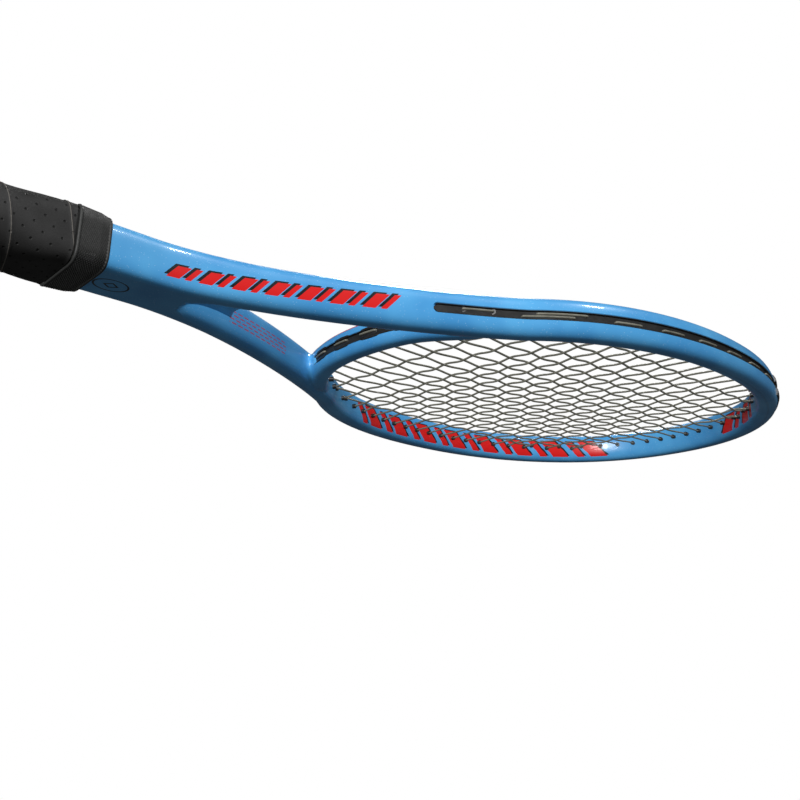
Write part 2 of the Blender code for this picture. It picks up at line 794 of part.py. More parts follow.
def sleeve_mesh(name, stations):
    """A hollow sleeve from (x, outer half width, outer half height, bevel, wall) stations."""
    outer = [octagon(x, w, h, bevel) for x, w, h, bevel, _ in stations]
    inner = [octagon(x, w - wall, h - wall, bevel) for x, w, h, bevel, wall in reversed(stations)]
    return loft_mesh(name, outer + inner, closed=True)


def wrap_outline(x):
    """Half width and half height of the wrap's outside at a station."""
    for (xa, wa, ha, _), (xb, wb, hb, _) in zip(WRAP_STATIONS, WRAP_STATIONS[1:]):
        if xa <= x <= xb:
            share = (x - xa) / (xb - xa)
            return wa + (wb - wa) * share, ha + (hb - ha) * share
    return WRAP_STATIONS[-1][1:3]


def make_pallets():
    fit = [(PALLET_REAR_X, CAP_FIT_HALF_WIDTH, CAP_FIT_HALF_HEIGHT),
           (PALLET_STEP_X, CAP_FIT_HALF_WIDTH, CAP_FIT_HALF_HEIGHT),
           (PALLET_STEP_X + 0.0005, PALLET_HALF_WIDTH, PALLET_HALF_HEIGHT),
           (PALLET_TAPER_X, PALLET_HALF_WIDTH, PALLET_HALF_HEIGHT),
           (PALLET_FRONT_X, PALLET_FRONT_HALF_WIDTH, PALLET_FRONT_HALF_HEIGHT)]
    clearance = bmesh.new()
    around = Vector((0, HAIRPIN_HALF_WIDTH + GAP, HAIRPIN_HALF_HEIGHT + GAP))
    add_box(clearance, -around, around + Vector((SHAFT_REAR_X, 0, 0)))
    core = add_object("hairpin_clearance", mesh_from("hairpin_clearance", clearance), CUTTERS)
    for name, side in (("pallet_upper", 1), ("pallet_lower", -1)):
        mesh = loft_mesh(name, [octagon(*station) for station in fit])
        thing = add_object(name, mesh, PARTS, "foam")
        boolean(thing, core, "DIFFERENCE")
        other = bmesh.new()
        wide = 2 * PALLET_HALF_WIDTH
        edges = sorted((side * GAP / 2, -side * wide))
        add_box(other, (-wide, -wide, edges[0]), (SHAFT_REAR_X, wide, edges[1]))
        boolean(thing, add_object(name + "_half", mesh_from(name, other), CUTTERS), "DIFFERENCE")
        boolean(thing, STAPLE_CUTS, "DIFFERENCE")


def make_plug():
    bm = bmesh.new()
    add_box(bm, (HAIRPIN_REAR_X, -PLUG_HALF_WIDTH, -PLUG_HALF_HEIGHT),
            (HAIRPIN_REAR_X + PLUG_LENGTH, PLUG_HALF_WIDTH, PLUG_HALF_HEIGHT))
    add_object("handle_foam_plug", mesh_from("handle_foam_plug", bm), PARTS, "foam")


def cap_outside(x):
    """Half width and half height of the cap where the wrap covers it."""
    width, height = wrap_outline(x)
    return width - WRAP_THICKNESS - GAP, height - WRAP_THICKNESS - GAP


def make_butt_cap():
    """A cup that fits over the pallets' rear end, with a lip that the wrap starts against."""
    lip_x = WRAP_REAR_X - GAP
    outer = [octagon(0.0, CAP_LIP_HALF_WIDTH - CAP_LIP_ROUND, CAP_LIP_HALF_HEIGHT - CAP_LIP_ROUND),
             octagon(CAP_LIP_ROUND, CAP_LIP_HALF_WIDTH, CAP_LIP_HALF_HEIGHT),
             octagon(lip_x, CAP_LIP_HALF_WIDTH, CAP_LIP_HALF_HEIGHT)]
    outer.append(octagon(lip_x, *cap_outside(WRAP_REAR_X)))
    for x, _, _, _ in WRAP_STATIONS[1:3]:
        outer.append(octagon(x, *cap_outside(x)))
    outer.append(octagon(CAP_SKIRT_X, *cap_outside(CAP_SKIRT_X)))
    fit_w = CAP_FIT_HALF_WIDTH + GAP
    fit_h = CAP_FIT_HALF_HEIGHT + GAP
    inner = [octagon(CAP_SKIRT_X, fit_w, fit_h), octagon(CAP_REAR_WALL, fit_w, fit_h)]
    hole_w = DOOR_HALF_WIDTH + GAP - DOOR_SPIGOT_WALL
    hole_h = DOOR_HALF_HEIGHT + GAP - DOOR_SPIGOT_WALL
    inner += [octagon(CAP_REAR_WALL, hole_w, hole_h),
              octagon(DOOR_PLATE + GAP, hole_w, hole_h),
              octagon(DOOR_PLATE + GAP, DOOR_HALF_WIDTH + GAP, DOOR_HALF_HEIGHT + GAP),
              octagon(0.0, DOOR_HALF_WIDTH + GAP, DOOR_HALF_HEIGHT + GAP)]
    cap = add_object("butt_cap", loft_mesh("butt_cap", outer + inner, closed=True), PARTS, "cap")
    boolean(cap, STAPLE_CUTS, "DIFFERENCE")


def make_trap_door():
    """A plate that closes the butt, with a hollow spigot that snaps into the cap."""
    spigot_w = DOOR_HALF_WIDTH - DOOR_SPIGOT_WALL
    spigot_h = DOOR_HALF_HEIGHT - DOOR_SPIGOT_WALL
    rings = [octagon(0.0, DOOR_HALF_WIDTH, DOOR_HALF_HEIGHT),
             octagon(DOOR_PLATE, DOOR_HALF_WIDTH, DOOR_HALF_HEIGHT),
             octagon(DOOR_PLATE, spigot_w, spigot_h),
             octagon(DOOR_SPIGOT, spigot_w, spigot_h),
             octagon(DOOR_SPIGOT, spigot_w - DOOR_SPIGOT_WALL, spigot_h - DOOR_SPIGOT_WALL),
             octagon(DOOR_PLATE, spigot_w - DOOR_SPIGOT_WALL, spigot_h - DOOR_SPIGOT_WALL)]
    add_object("trap_door", loft_mesh("trap_door", rings), PARTS, "cap")


def staple_places():
    """Name, crown centre, outward direction, crown direction and span of every staple."""
    width, height = cap_outside(STAPLE_X)
    up, side = Vector((0, 0, 1)), Vector((0, 1, 0))
    along = Vector((STAPLE_X, 0, 0))
    start = Vector((START_STAPLE_X, 0, cap_outside(START_STAPLE_X)[1]))
    return [("butt_staple_1", along + up * height, up, side, STAPLE_SPAN),
            ("butt_staple_2", along - up * height, -up, side, STAPLE_SPAN),
            ("butt_staple_3", along + side * width, side, up, SIDE_STAPLE_SPAN),
            ("butt_staple_4", along - side * width, -side, up, SIDE_STAPLE_SPAN),
            ("grip_start_staple", start, up, side, START_STAPLE_SPAN)]


def add_staple(bm, place, outward, across, span, grow=0.0):
    """The staple as a U-shaped prism; grown on every side it is the seat that it sits in."""
    half = span / 2
    wire = STAPLE_WIRE / 2 + grow
    top = SEAT_OPEN if grow else -GAP
    under = -GAP - STAPLE_WIRE - grow
    foot = -GAP - STAPLE_WIRE - STAPLE_LEG - grow
    notch = half - wire
    outline = [(-half - wire, top), (half + wire, top), (half + wire, foot), (notch, foot),
               (notch, under), (-notch, under), (-notch, foot), (-half - wire, foot)]
    rings = []
    for x in (-wire, wire):
        rings.append([place + Vector((x, 0, 0)) + across * a + outward * b for a, b in outline])
    add_loft(bm, rings)


def make_staple_cuts():
    bm = bmesh.new()
    for _, place, outward, across, span in staple_places():
        add_staple(bm, place, outward, across, span, GAP)
    return add_object("staple_seats", mesh_from("staple_seats", bm), CUTTERS)


def make_staples():
    for name, place, outward, across, span in staple_places():
        bm = bmesh.new()
        add_staple(bm, place, outward, across, span)
        add_object(name, mesh_from(name, bm), PARTS, "steel")


def make_wrap():
    stations = []
    for x, width, height, bevel in WRAP_STATIONS:
        wall = WRAP_THICKNESS
        if x >= PALLET_TAPER_X:
            wall = min(width - SHAFT_HALF_WIDTH, height - SHAFT_HALF_HEIGHT) - GAP
            wall = min(wall, WRAP_THICKNESS)
        stations.append((x, width, height, bevel, wall))
    add_object("grip_wrap", sleeve_mesh("grip_wrap", stations), PARTS, "grip")


def make_tape():
    width, height = wrap_outline(TAPE_REAR_X)
    width += GAP + TAPE_THICKNESS
    height += GAP + TAPE_THICKNESS
    stations = [(x, width, height, SHAFT_BEVEL, TAPE_THICKNESS)
                for x in (TAPE_REAR_X, TAPE_FRONT_X)]
    add_object("finishing_tape", sleeve_mesh("finishing_tape", stations), PARTS, "tape")


def make_collar():
    """A tapered rubber sleeve with a raised rim at each end."""
    width, height = wrap_outline(TAPE_REAR_X)
    rear_w = width + 2 * GAP + TAPE_THICKNESS + COLLAR_WALL
    rear_h = height + 2 * GAP + TAPE_THICKNESS + COLLAR_WALL
    front_w = SHAFT_HALF_WIDTH + GAP + COLLAR_WALL
    front_h = SHAFT_HALF_HEIGHT + GAP + COLLAR_WALL
    rim = COLLAR_RIM_LENGTH
    slope = COLLAR_RIM_SLOPE
    taper_x = TAPE_FRONT_X + GAP + COLLAR_WALL

    def outside(x):
        share = max(0.0, (x - taper_x) / (COLLAR_FRONT_X - taper_x))
        return rear_w + (front_w - rear_w) * share, rear_h + (front_h - rear_h) * share

    outer = []
    for x, lift in ((COLLAR_REAR_X, COLLAR_RIM), (COLLAR_REAR_X + rim, COLLAR_RIM),
                    (COLLAR_REAR_X + rim + slope, 0), (taper_x, 0),
                    (COLLAR_FRONT_X - rim - slope, 0), (COLLAR_FRONT_X - rim, COLLAR_RIM),
                    (COLLAR_FRONT_X, COLLAR_RIM)):
        w, h = outside(x)
        outer.append(octagon(x, w + lift, h + lift, SHAFT_BEVEL))
    inner = []
    for x in (COLLAR_FRONT_X, taper_x, COLLAR_REAR_X):
        w, h = outside(x)
        inner.append(octagon(x, w - COLLAR_WALL, h - COLLAR_WALL, SHAFT_BEVEL))
    mesh = loft_mesh("rubber_collar", outer + inner, closed=True)
    add_object("rubber_collar", mesh, PARTS, "rubber")


clear_scene()
PARTS = new_collection("tennis_racket")
CUTTERS = new_collection("cutters")
ORIGIN = bpy.data.objects.new("racket_origin", None)
PARTS.objects.link(ORIGIN)
ORIGIN.location = (-LENGTH / 2, 0, REST_HEIGHT)

HEAD_MIDDLE = Vector((HEAD_CENTRE_X, 0))
HOOP = outline_with_normals(hoop_outline())
BRIDGE = outline_with_normals(bridge_outline())
THROAT_SIDE = outline_with_normals(throat_side_outline())
STAPLE_CUTS = make_staple_cuts()

ENDS = string_layout()
make_frame(ENDS)
make_grommets(ENDS)
make_strings(ENDS)
make_pallets()
make_plug()
make_butt_cap()
make_trap_door()
make_staples()
make_wrap()
make_tape()
make_collar()
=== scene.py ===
"""Looks of the tennis racket: lacquered frame, nylon trim, woven strings, wound grip and collar.

Shapes are worked out along the racket (+X from the butt, Y across the head, Z = 0 the string
bed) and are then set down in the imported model's frame, in metres.
"""
import math

import bmesh
import bpy
import numpy as np
from mathutils import Matrix, Vector


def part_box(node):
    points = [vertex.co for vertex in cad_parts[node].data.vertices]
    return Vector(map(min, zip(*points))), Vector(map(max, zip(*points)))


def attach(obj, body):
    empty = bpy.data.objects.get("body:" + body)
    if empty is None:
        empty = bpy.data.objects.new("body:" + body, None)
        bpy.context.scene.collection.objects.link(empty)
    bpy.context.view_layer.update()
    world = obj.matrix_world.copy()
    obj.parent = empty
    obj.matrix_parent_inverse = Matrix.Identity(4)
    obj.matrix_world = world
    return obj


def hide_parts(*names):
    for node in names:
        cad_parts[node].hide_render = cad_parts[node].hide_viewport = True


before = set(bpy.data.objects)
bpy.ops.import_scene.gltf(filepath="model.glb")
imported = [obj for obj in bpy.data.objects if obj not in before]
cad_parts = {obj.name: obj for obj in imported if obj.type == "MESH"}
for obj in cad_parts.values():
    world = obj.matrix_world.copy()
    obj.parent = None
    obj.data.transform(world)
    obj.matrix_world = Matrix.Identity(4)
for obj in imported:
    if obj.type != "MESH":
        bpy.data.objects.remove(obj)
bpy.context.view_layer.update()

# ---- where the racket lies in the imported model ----
BUTT_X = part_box("butt_cap")[0].x
PLANE_Z = (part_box("frame")[0].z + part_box("frame")[1].z) / 2
PLACE = np.array([BUTT_X, 0.0, PLANE_Z])

# ---- the frame's centre line ----
TUBE_OUT = 0.0070
TUBE_HALF_HEIGHT = (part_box("frame")[1].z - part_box("frame")[0].z) / 2 - 0.00015
BUMPER_PROUD = 0.0010
HEAD_HALF_LENGTH = 0.1757
HEAD_HALF_WIDTH = 0.124
HEAD_POWER = 2 / 2.13
HEAD_X = 0.685 - BUMPER_PROUD - TUBE_OUT - HEAD_HALF_LENGTH
HOOP_END = math.radians(140)
ARM_START_PULL = 0.010
ARM_END_PULL = 0.067
SHAFT_FRONT_X = 0.181
SHAFT_LINE_Y = 0.0107
SHAFT_HALF_WIDTH = 0.0166
SHAFT_HALF_HEIGHT = 0.0112
SHAFT_REAR_X = 0.128
TUBE_ROUNDING = 2.9
SHAFT_ROUNDING = 4.0
ARM_BLEND_X = 0.190
ARM_BLEND_LENGTH = 0.048
LINE_STEP = 0.00025

# ---- strings ----
STRING_RADIUS = 0.00065
WEAVE = 0.00062
WEAVE_Z = -0.0002
LANES = {"main": 0.0008, "cross": -0.0008}
LOOP_STEP = 0.003
LOOP_ARCH = 0.0002
WEAVE_STEP = 0.0022
STRING_SIDES = 10
LOOP_BEND = 0.0007
MAINS = [0.0111 * s + 0.0000175 * s ** 3 for s in np.arange(16) - 7.5]
CROSS_PITCHES = [0.0221, 0.0195] + [0.01395] * 14 + [0.0182, 0.0170]
CROSSES = list(0.3653 + np.concatenate([[0.0], np.cumsum(CROSS_PITCHES)]))

# ---- groove, bridge, web and corners ----
GROOVE_HALF = 0.0029
GROOVE_DEPTH = 0.0025
GROOVE_LIP = 0.0003
GROOVE_TAPER = 0.95
GROOVE_END_X = 0.3170
CLOSED_GROOVE = 0.0001
BRIDGE_START = math.radians(138)
BRIDGE_BACK_ANGLE = math.radians(22)
BRIDGE_BACK = 0.0050
BRIDGE_GROOVE_Y = 0.0431
BRIDGE_STRIP_Y = 0.0429
BRIDGE_OUT = 0.0066
BRIDGE_HALF_HEIGHT = 0.0088
BRIDGE_FLARE = 0.0016
BRIDGE_FLARE_Y = (0.030, 0.060)
BRIDGE_SLIM_Y = (0.060, 0.072)
BRIDGE_SLIM_OUT = 0.0036
BRIDGE_SLIM_IN = 0.0010
SEAT_DEPTH = 0.00065
WEB_START_X = 0.2030
WEB_END_X = 0.2360
WEB_SLOPE = 0.022
WEB_THIN = 0.0014
WEB_FILLET = 0.0030
WEB_DROP = 5.0
WEB_END_RADIUS = 0.020
WEB_END_LENGTH = 0.010
WEB_PAST_MIDDLE = 0.003
SCOOP_RADIUS = 0.0060
CORNER_REACH = 0.0130
CORNER_SHARE = 0.68
CORNER_TOP = 0.0098
CORNER_SINK = 0.0022

# ---- grommets ----
SEAT_BACK = 0.0075
SIDE_MAINS = (2, 3, 12, 13)
BRIDGE_MAINS = range(4, 12)
BARREL_RADIUS = 0.0016
BARREL_LENGTH = 0.0021
BARREL_BORE = 0.00078
BARREL_ROLL = 0.00016
STRING_BEND = 0.0003
BUMPER_ANGLE = math.radians(66)


# ======== mesh plumbing

def add_piece(name, mesh, body, material, slot, *nodes):
    """Adds a finished piece that rides on a body and stands in for the nodes named."""
    thing = bpy.data.objects.new(name, mesh)
    bpy.context.scene.collection.objects.link(thing)
    mesh.materials.clear()
    mesh.materials.append(material)
    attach(thing, body)
    if nodes:
        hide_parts(*nodes)
    return thing


def smooth(mesh, sharp=40):
    mesh.shade_smooth()
    mesh.set_sharp_from_angle(angle=math.radians(sharp))


def skin_faces(rows, columns, wrap_rows):
    """Quads between rings of points, and flat ends or a last row that meets the first."""
    faces = []
    for i in range(rows if wrap_rows else rows - 1):
        a, b = i * columns, ((i + 1) % rows) * columns
        for j in range(columns):
            k = (j + 1) % columns
            faces.append((a + j, a + k, b + k, b + j))
    if not wrap_rows:
        faces.append(tuple(range(columns)))
        faces.append(tuple(reversed(range((rows - 1) * columns, rows * columns))))
    return faces


def skin(name, rings, sharp=40, wrap_rows=False):
    """A closed surface through rings, an array of (rows, columns, 3), its normals outward."""
    mesh = bpy.data.meshes.new(name)
    points = (rings.reshape(-1, 3) + PLACE).tolist()
    mesh.from_pydata(points, [], skin_faces(*rings.shape[:2], wrap_rows))
    bm = bmesh.new()
    bm.from_mesh(mesh)
    bmesh.ops.recalc_face_normals(bm, faces=bm.faces)
    bm.to_mesh(mesh)
    bm.free()
    smooth(mesh, sharp)
    return mesh


def joined(name, meshes):
    """Several closed meshes as one."""
    bm = bmesh.new()
    for mesh in meshes:
        bm.from_mesh(mesh)
    whole = bpy.data.meshes.new(name)
    bm.to_mesh(whole)
    bm.free()
    smooth(whole)
    return whole


def united(name, mesh, other):
    """One closed mesh round two that overlap."""
    holder = bpy.data.objects.new("holder", mesh)
    tool = bpy.data.objects.new("tool", other)
    for thing in (holder, tool):
        bpy.context.scene.collection.objects.link(thing)
    modifier = holder.modifiers.new("boolean", "BOOLEAN")
    modifier.operation = "UNION"
    modifier.solver = "EXACT"
    modifier.object = tool
    made = bpy.data.meshes.new_from_object(
        holder.evaluated_get(bpy.context.evaluated_depsgraph_get()))
    made.name = name
    bpy.data.objects.remove(holder)
    bpy.data.objects.remove(tool)
    return made


def smoothstep(value):
    """Eased step: 0 below 0, 1 above 1."""
    value = np.clip(value, 0.0, 1.0)
    return value * value * (3 - 2 * value)


def ramped(value, low, high):
    return smoothstep((value - low) / (high - low))


def power(value, exponent):
    """A power that keeps the sign."""
    return np.sign(value) * np.abs(value) ** exponent


# ======== lines

def hoop_points(angles, back=0.0):
    """Points of the hoop's centre line, angles from the tip, moved back towards the butt."""
    x = HEAD_X + HEAD_HALF_LENGTH * power(np.cos(angles), HEAD_POWER) - back
    return np.stack([x, HEAD_HALF_WIDTH * power(np.sin(angles), HEAD_POWER)], axis=-1)


def arm_points(shares):
    """Points of the +Y arm's centre line, a cubic curve from the hoop to the shaft."""
    ends = hoop_points(np.array([HOOP_END - 0.001, HOOP_END]))
    along = (ends[1] - ends[0]) / np.linalg.norm(ends[1] - ends[0])
    start, end = ends[1], np.array([SHAFT_FRONT_X, SHAFT_LINE_Y])
    pull_a, pull_b = start + along * ARM_START_PULL, end + np.array([ARM_END_PULL, 0])
    s = np.asarray(shares)[:, None]
    r = 1 - s
    return start * r ** 3 + pull_a * 3 * r * r * s + pull_b * 3 * r * s * s + end * s ** 3


class Line:
    """A finely stepped line with its lengths and outward normals, seen from above."""

    def __init__(self, points):
        step = np.linalg.norm(np.diff(points, axis=0), axis=1)
        run = np.concatenate([[0], np.cumsum(step)])
        self.length = run[-1]
        self.s = np.linspace(0, self.length, int(self.length / LINE_STEP))
        self.p = np.stack([np.interp(self.s, run, points[:, i]) for i in (0, 1)], axis=1)
        ahead = np.gradient(self.p, axis=0)
        kernel = np.ones(9) / 9
        padded = np.pad(ahead, ((4, 4), (0, 0)), mode="edge")
        ahead = np.stack([np.convolve(padded[:, i], kernel, "valid") for i in (0, 1)], axis=1)
        ahead /= np.linalg.norm(ahead, axis=1)[:, None]
        self.n = np.stack([ahead[:, 1], -ahead[:, 0]], axis=1)

    def at(self, s):
        s = np.asarray(s, float)
        p = np.stack([np.interp(s, self.s, self.p[:, i]) for i in (0, 1)], axis=-1)
        n = np.stack([np.interp(s, self.s, self.n[:, i]) for i in (0, 1)], axis=-1)
        return p, n / np.linalg.norm(n, axis=-1)[..., None]

    def length_at(self, axis, value):
        """Length along the line where it comes nearest to an x (axis 0) or a y (axis 1)."""
        return float(self.s[np.argmin(np.abs(self.p[:, axis] - value))])

    def nearest(self, points):
        """Length along the line and signed distance outward of each (x, y) point."""
        along, out = [], []
        coarse = slice(None, None, 4)
        for chunk in np.array_split(np.asarray(points), max(1, len(points) // 4000)):
            gap = chunk[:, None, :] - self.p[None, coarse, :]
            i = np.argmin((gap ** 2).sum(axis=2), axis=1) * 4
            along.append(self.s[i])
            out.append(((chunk - self.p[i]) * self.n[i]).sum(axis=1))
        return np.concatenate(along), np.concatenate(out)


def half_frame_line():
    """From just past the tip down the +Y side to the handle."""
    hoop = hoop_points(np.linspace(-0.02, HOOP_END, 1500))
    arm = arm_points(np.linspace(0, 1, 800))[1:]
    shaft = np.array([[SHAFT_REAR_X, SHAFT_LINE_Y]])
    return Line(np.concatenate([hoop, arm, shaft]))


def whole_outline():
    """Both arms and the hoop as one line, from the -Y arm's root round the tip."""
    hoop = hoop_points(np.linspace(0, HOOP_END, 1500))
    arm = arm_points(np.linspace(0, 0.97, 800))[1:]
    half = np.concatenate([hoop, arm])
    other = half[1:][::-1] * np.array([1, -1])
    return Line(np.concatenate([other, half]))


def bridge_half():
    """The bridge's centre line from inside the +Y hoop to just past the middle."""
    angles = np.linspace(BRIDGE_START, math.pi + 0.02, 900)
    reach = smoothstep((angles - BRIDGE_START) / BRIDGE_BACK_ANGLE)
    return hoop_points(angles, BRIDGE_BACK * reach)


def bridge_outline():
    half = bridge_half()
    half = half[half[:, 1] > 0]
    return Line(np.concatenate([half, half[::-1] * np.array([1, -1])]))


HALF = half_frame_line()
OUTLINE = whole_outline()
BRIDGE = bridge_outline()


# ======== frame

OUTER_POINTS = 14
INNER_POINTS = 14
WEB_POINTS = 8


def evenly(points, count):
    """The same poly line as a given number of points, evenly apart along it."""
    run = np.concatenate([[0], np.cumsum(np.linalg.norm(np.diff(points, axis=0), axis=1))])
    even = np.linspace(0, run[-1], count)
    return np.stack([np.interp(even, run, points[:, i]) for i in (0, 1)], axis=1)


def smooth_max(a, b, reach):
    """The larger of two values, rounded over where they are nearly the same."""
    near = np.maximum(reach - np.abs(a - b), 0.0) / reach
    return np.maximum(a, b) + near * near * reach / 4


def in_two_parts(points, split):
    """Even points up to a split and even points after it, always as many of each."""
    before = evenly(points[:split + 1], INNER_POINTS)
    after = evenly(points[split:], WEB_POINTS)
    return np.concatenate([before, after[1:]])


def webbed(inner, inside, height, web, web_end):
    """The tube's inner side raised to the web, and the web's face out to its end."""
    inner[:, 1] = np.minimum(smooth_max(inner[:, 1], web(inner[:, 0]), WEB_FILLET), height)
    flat = np.linspace(-inside, -web_end, 40)[1:]
    drop = (-inside - flat) * WEB_DROP
    level = np.minimum(smooth_max(-drop, web(flat), WEB_FILLET), height)
    return np.concatenate([inner, np.stack([flat, level], axis=1), [[-web_end, 0.0]]])


def groove_points(face, half, depth, lip):
    """The groove's lower wall, floor and upper wall, sunk from the tube's outer face."""
    sink, floor_half = min(lip, depth), (half - lip) * GROOVE_TAPER
    u = [face - sink, face - depth, face - depth, face - depth, face - sink]
    z = [-half + lip, -floor_half, 0, floor_half, half - lip]
    return np.stack([u, z], axis=1)


def section(out, inside, height, rounding, groove, web=None, web_end=0.0):
    """(u, z) ring of a tube: a rounded box with a groove outside and maybe a web inside."""
    half = max(groove, CLOSED_GROOVE)
    start = math.asin((half / height) ** (rounding / 2))
    angle = np.linspace(start, math.pi, 400)
    u = power(np.cos(angle), 2 / rounding)
    u = np.where(u > 0, u * out, u * inside)
    z = height * power(np.sin(angle), 2 / rounding)
    split = np.argmax(u < 0)
    outer = evenly(np.stack([u, z], axis=1)[:split + 1], OUTER_POINTS)
    inner = np.stack([u, z], axis=1)[split:]
    join = len(inner) - 1
    if web is not None:
        inner = webbed(inner, inside, height, web, web_end)
    inner = in_two_parts(inner, join)
    upper = np.concatenate([outer, inner[1:]])
    lower = upper[:-1][::-1] * np.array([1, -1])
    depth = GROOVE_DEPTH if groove else 0.0
    sunk = groove_points(upper[0, 0], half, depth, min(GROOVE_LIP, groove / 3))
    return np.concatenate([upper, lower, sunk])


def groove_half_at(into):
    """Half width of the groove at a distance into it from its round end."""
    if into <= 0:
        return 0.0
    share = min(1.0, into / GROOVE_HALF)
    return GROOVE_HALF * math.sqrt(1 - (1 - share) ** 2)


def rings_along(points, normals, sections):
    """Each (u, z) section set up across the line at its point."""
    rings = []
    for p, n, ring in zip(points, normals, sections):
        xy = p[None, :] + n[None, :] * ring[:, :1]
        rings.append(np.concatenate([xy, ring[:, 1:]], axis=1))
    return np.array(rings)


def stations(length, spacing, places, fine, reach):
    """Even stations, closer together near given places."""
    out = list(np.arange(0, length, spacing)) + [length]
    for place in places:
        out = [s for s in out if abs(s - place) > reach]
        out += list(np.arange(place - reach, place + reach, fine))
    return np.array(sorted(s for s in out if 0 <= s <= length))


def round_off(share):
    """Quarter circle from 0 to 1, steep at its start."""
    return np.sqrt(1 - (1 - np.clip(share, 0.0, 1.0)) ** 2)


def web_level(x, y, height):
    """Half thickness of the web between the arms: full in the shaft, a thin round nose at the V."""
    scoop = x - WEB_START_X - y * y / (2 * SCOOP_RADIUS)
    nose = WEB_END_X + y * y / (2 * WEB_END_RADIUS) - x
    level = height - (height - WEB_THIN) * round_off(scoop / WEB_SLOPE)
    return level * round_off(nose / WEB_THIN)


def web_edge(x):
    """The y where the web ends, just past the middle plane in the shaft."""
    if x < WEB_END_X:
        return -WEB_PAST_MIDDLE
    return math.sqrt(2 * WEB_END_RADIUS * (x - WEB_END_X))


def tube_section(x, y, into):
    """The frame's section at a point of its line, into metres past the start of its groove."""
    arm = float(smoothstep((x - ARM_BLEND_X) / ARM_BLEND_LENGTH))
    out = TUBE_OUT * arm + (SHAFT_HALF_WIDTH - SHAFT_LINE_Y) * (1 - arm)
    height = TUBE_HALF_HEIGHT * arm + SHAFT_HALF_HEIGHT * (1 - arm)
    rounding = TUBE_ROUNDING * arm + SHAFT_ROUNDING * (1 - arm)
    web = None
    if x < WEB_END_X + WEB_END_LENGTH and web_edge(x) < y - TUBE_OUT - 0.0003:
        def web(u):
            return web_level(x, y + u, height)
    return section(out, TUBE_OUT, height, rounding, groove_half_at(into), web, y - web_edge(x))


def half_frame():
    """The +Y half of the frame, with closer rings at the groove's end and along the web."""
    groove_end = HALF.length_at(0, GROOVE_END_X)
    web = [HALF.length_at(0, x) for x in (WEB_END_X + 0.012, WEB_START_X - 0.004)]
    s = stations(HALF.length, 0.0026, [groove_end], 0.0004, 0.0035)
    s = s[(s < web[0] - 0.0005) | (s > web[1] + 0.0005)]
    s = np.sort(np.concatenate([s, np.arange(*web, 0.0008)]))
    points, normals = HALF.at(s)
    sections = [tube_section(*p, groove_end - at) for p, at in zip(points, s)]
    return skin("half_frame", rings_along(points, normals, sections))


def bridge_size(y):
    """Reach outward, reach inward and half height of the bridge at a distance from the middle."""
    slim = ramped(np.abs(y), *BRIDGE_SLIM_Y)
    flare = BRIDGE_FLARE * ramped(np.abs(y), *BRIDGE_FLARE_Y) * (1 - slim)
    out, inside = BRIDGE_OUT - BRIDGE_SLIM_OUT * slim, BRIDGE_OUT - BRIDGE_SLIM_IN * slim
    return out, inside, BRIDGE_HALF_HEIGHT + flare


def bridge_section(y, into):
    out, inside, height = (float(size) for size in bridge_size(y))
    return section(out, inside, height, TUBE_ROUNDING, groove_half_at(into))


def half_bridge():
    line = Line(bridge_half())
    end = line.length_at(1, BRIDGE_GROOVE_Y)
    s = stations(line.length, 0.0020, [end], 0.0003, 0.003)
    points, normals = line.at(s)
    sections = [bridge_section(p[1], at - end) for p, at in zip(points, s)]
    return skin("half_bridge", rings_along(points, normals, sections))


def mirrored(mesh):
    """The half with y > 0 and its mirror image, joined at the middle plane."""
    bm = bmesh.new()
    bm.from_mesh(mesh)
    geometry = bm.verts[:] + bm.edges[:] + bm.faces[:]
    bmesh.ops.bisect_plane(bm, geom=geometry, plane_co=(0, 0, 0), plane_no=(0, 1, 0),
                           clear_inner=True)
    copy = bmesh.ops.duplicate(bm, geom=bm.verts[:] + bm.edges[:] + bm.faces[:])["geom"]
    verts = [g for g in copy if isinstance(g, bmesh.types.BMVert)]
    for v in verts:
        v.co.y = -v.co.y
    bmesh.ops.remove_doubles(bm, verts=bm.verts, dist=0.00004)
    bmesh.ops.recalc_face_normals(bm, faces=bm.faces)
    bm.to_mesh(mesh)
    bm.free()
    return mesh


def swell(z, out, half):
    """How far a tube of the frame's rounding reaches at a height z."""
    return out * (1 - np.minimum(np.abs(z) / half, 1.0) ** TUBE_ROUNDING) ** (1 / TUBE_ROUNDING)


def corner_ring(z, arm, bridge):
    """Outline at one height of the filling between an arm's inside and the bridge's outside."""
    out, _, half = bridge_size(bridge.p[:, 1])
    sides = [arm.p - arm.n * swell(z, TUBE_OUT, TUBE_HALF_HEIGHT),
             bridge.p + bridge.n * swell(z, out, half)[:, None]]
    gaps = np.linalg.norm(sides[0][:, None, :] - sides[1][None, :, :], axis=2)
    i, j = np.unravel_index(np.argmin(gaps), gaps.shape)
    walk = max(0.0002, CORNER_REACH * math.sqrt(1 - (z / CORNER_TOP) ** 2))
    steps = int(walk / (arm.s[1] - arm.s[0]))
    first, corner, last = sides[0][i + steps], sides[1][j], sides[1][j + int(steps * CORNER_SHARE)]
    t = np.linspace(0, 1, 11)[:, None]
    curve = first * (1 - t) ** 2 + corner * 2 * t * (1 - t) + last * t * t
    into_arm, into_bridge = arm.n[i] * CORNER_SINK, -bridge.n[j] * CORNER_SINK
    closing = [last + into_bridge, corner + into_arm + into_bridge, first + into_arm]
    ring = np.concatenate([curve, closing])
    return np.concatenate([ring, np.full((len(ring), 1), z)], axis=1)


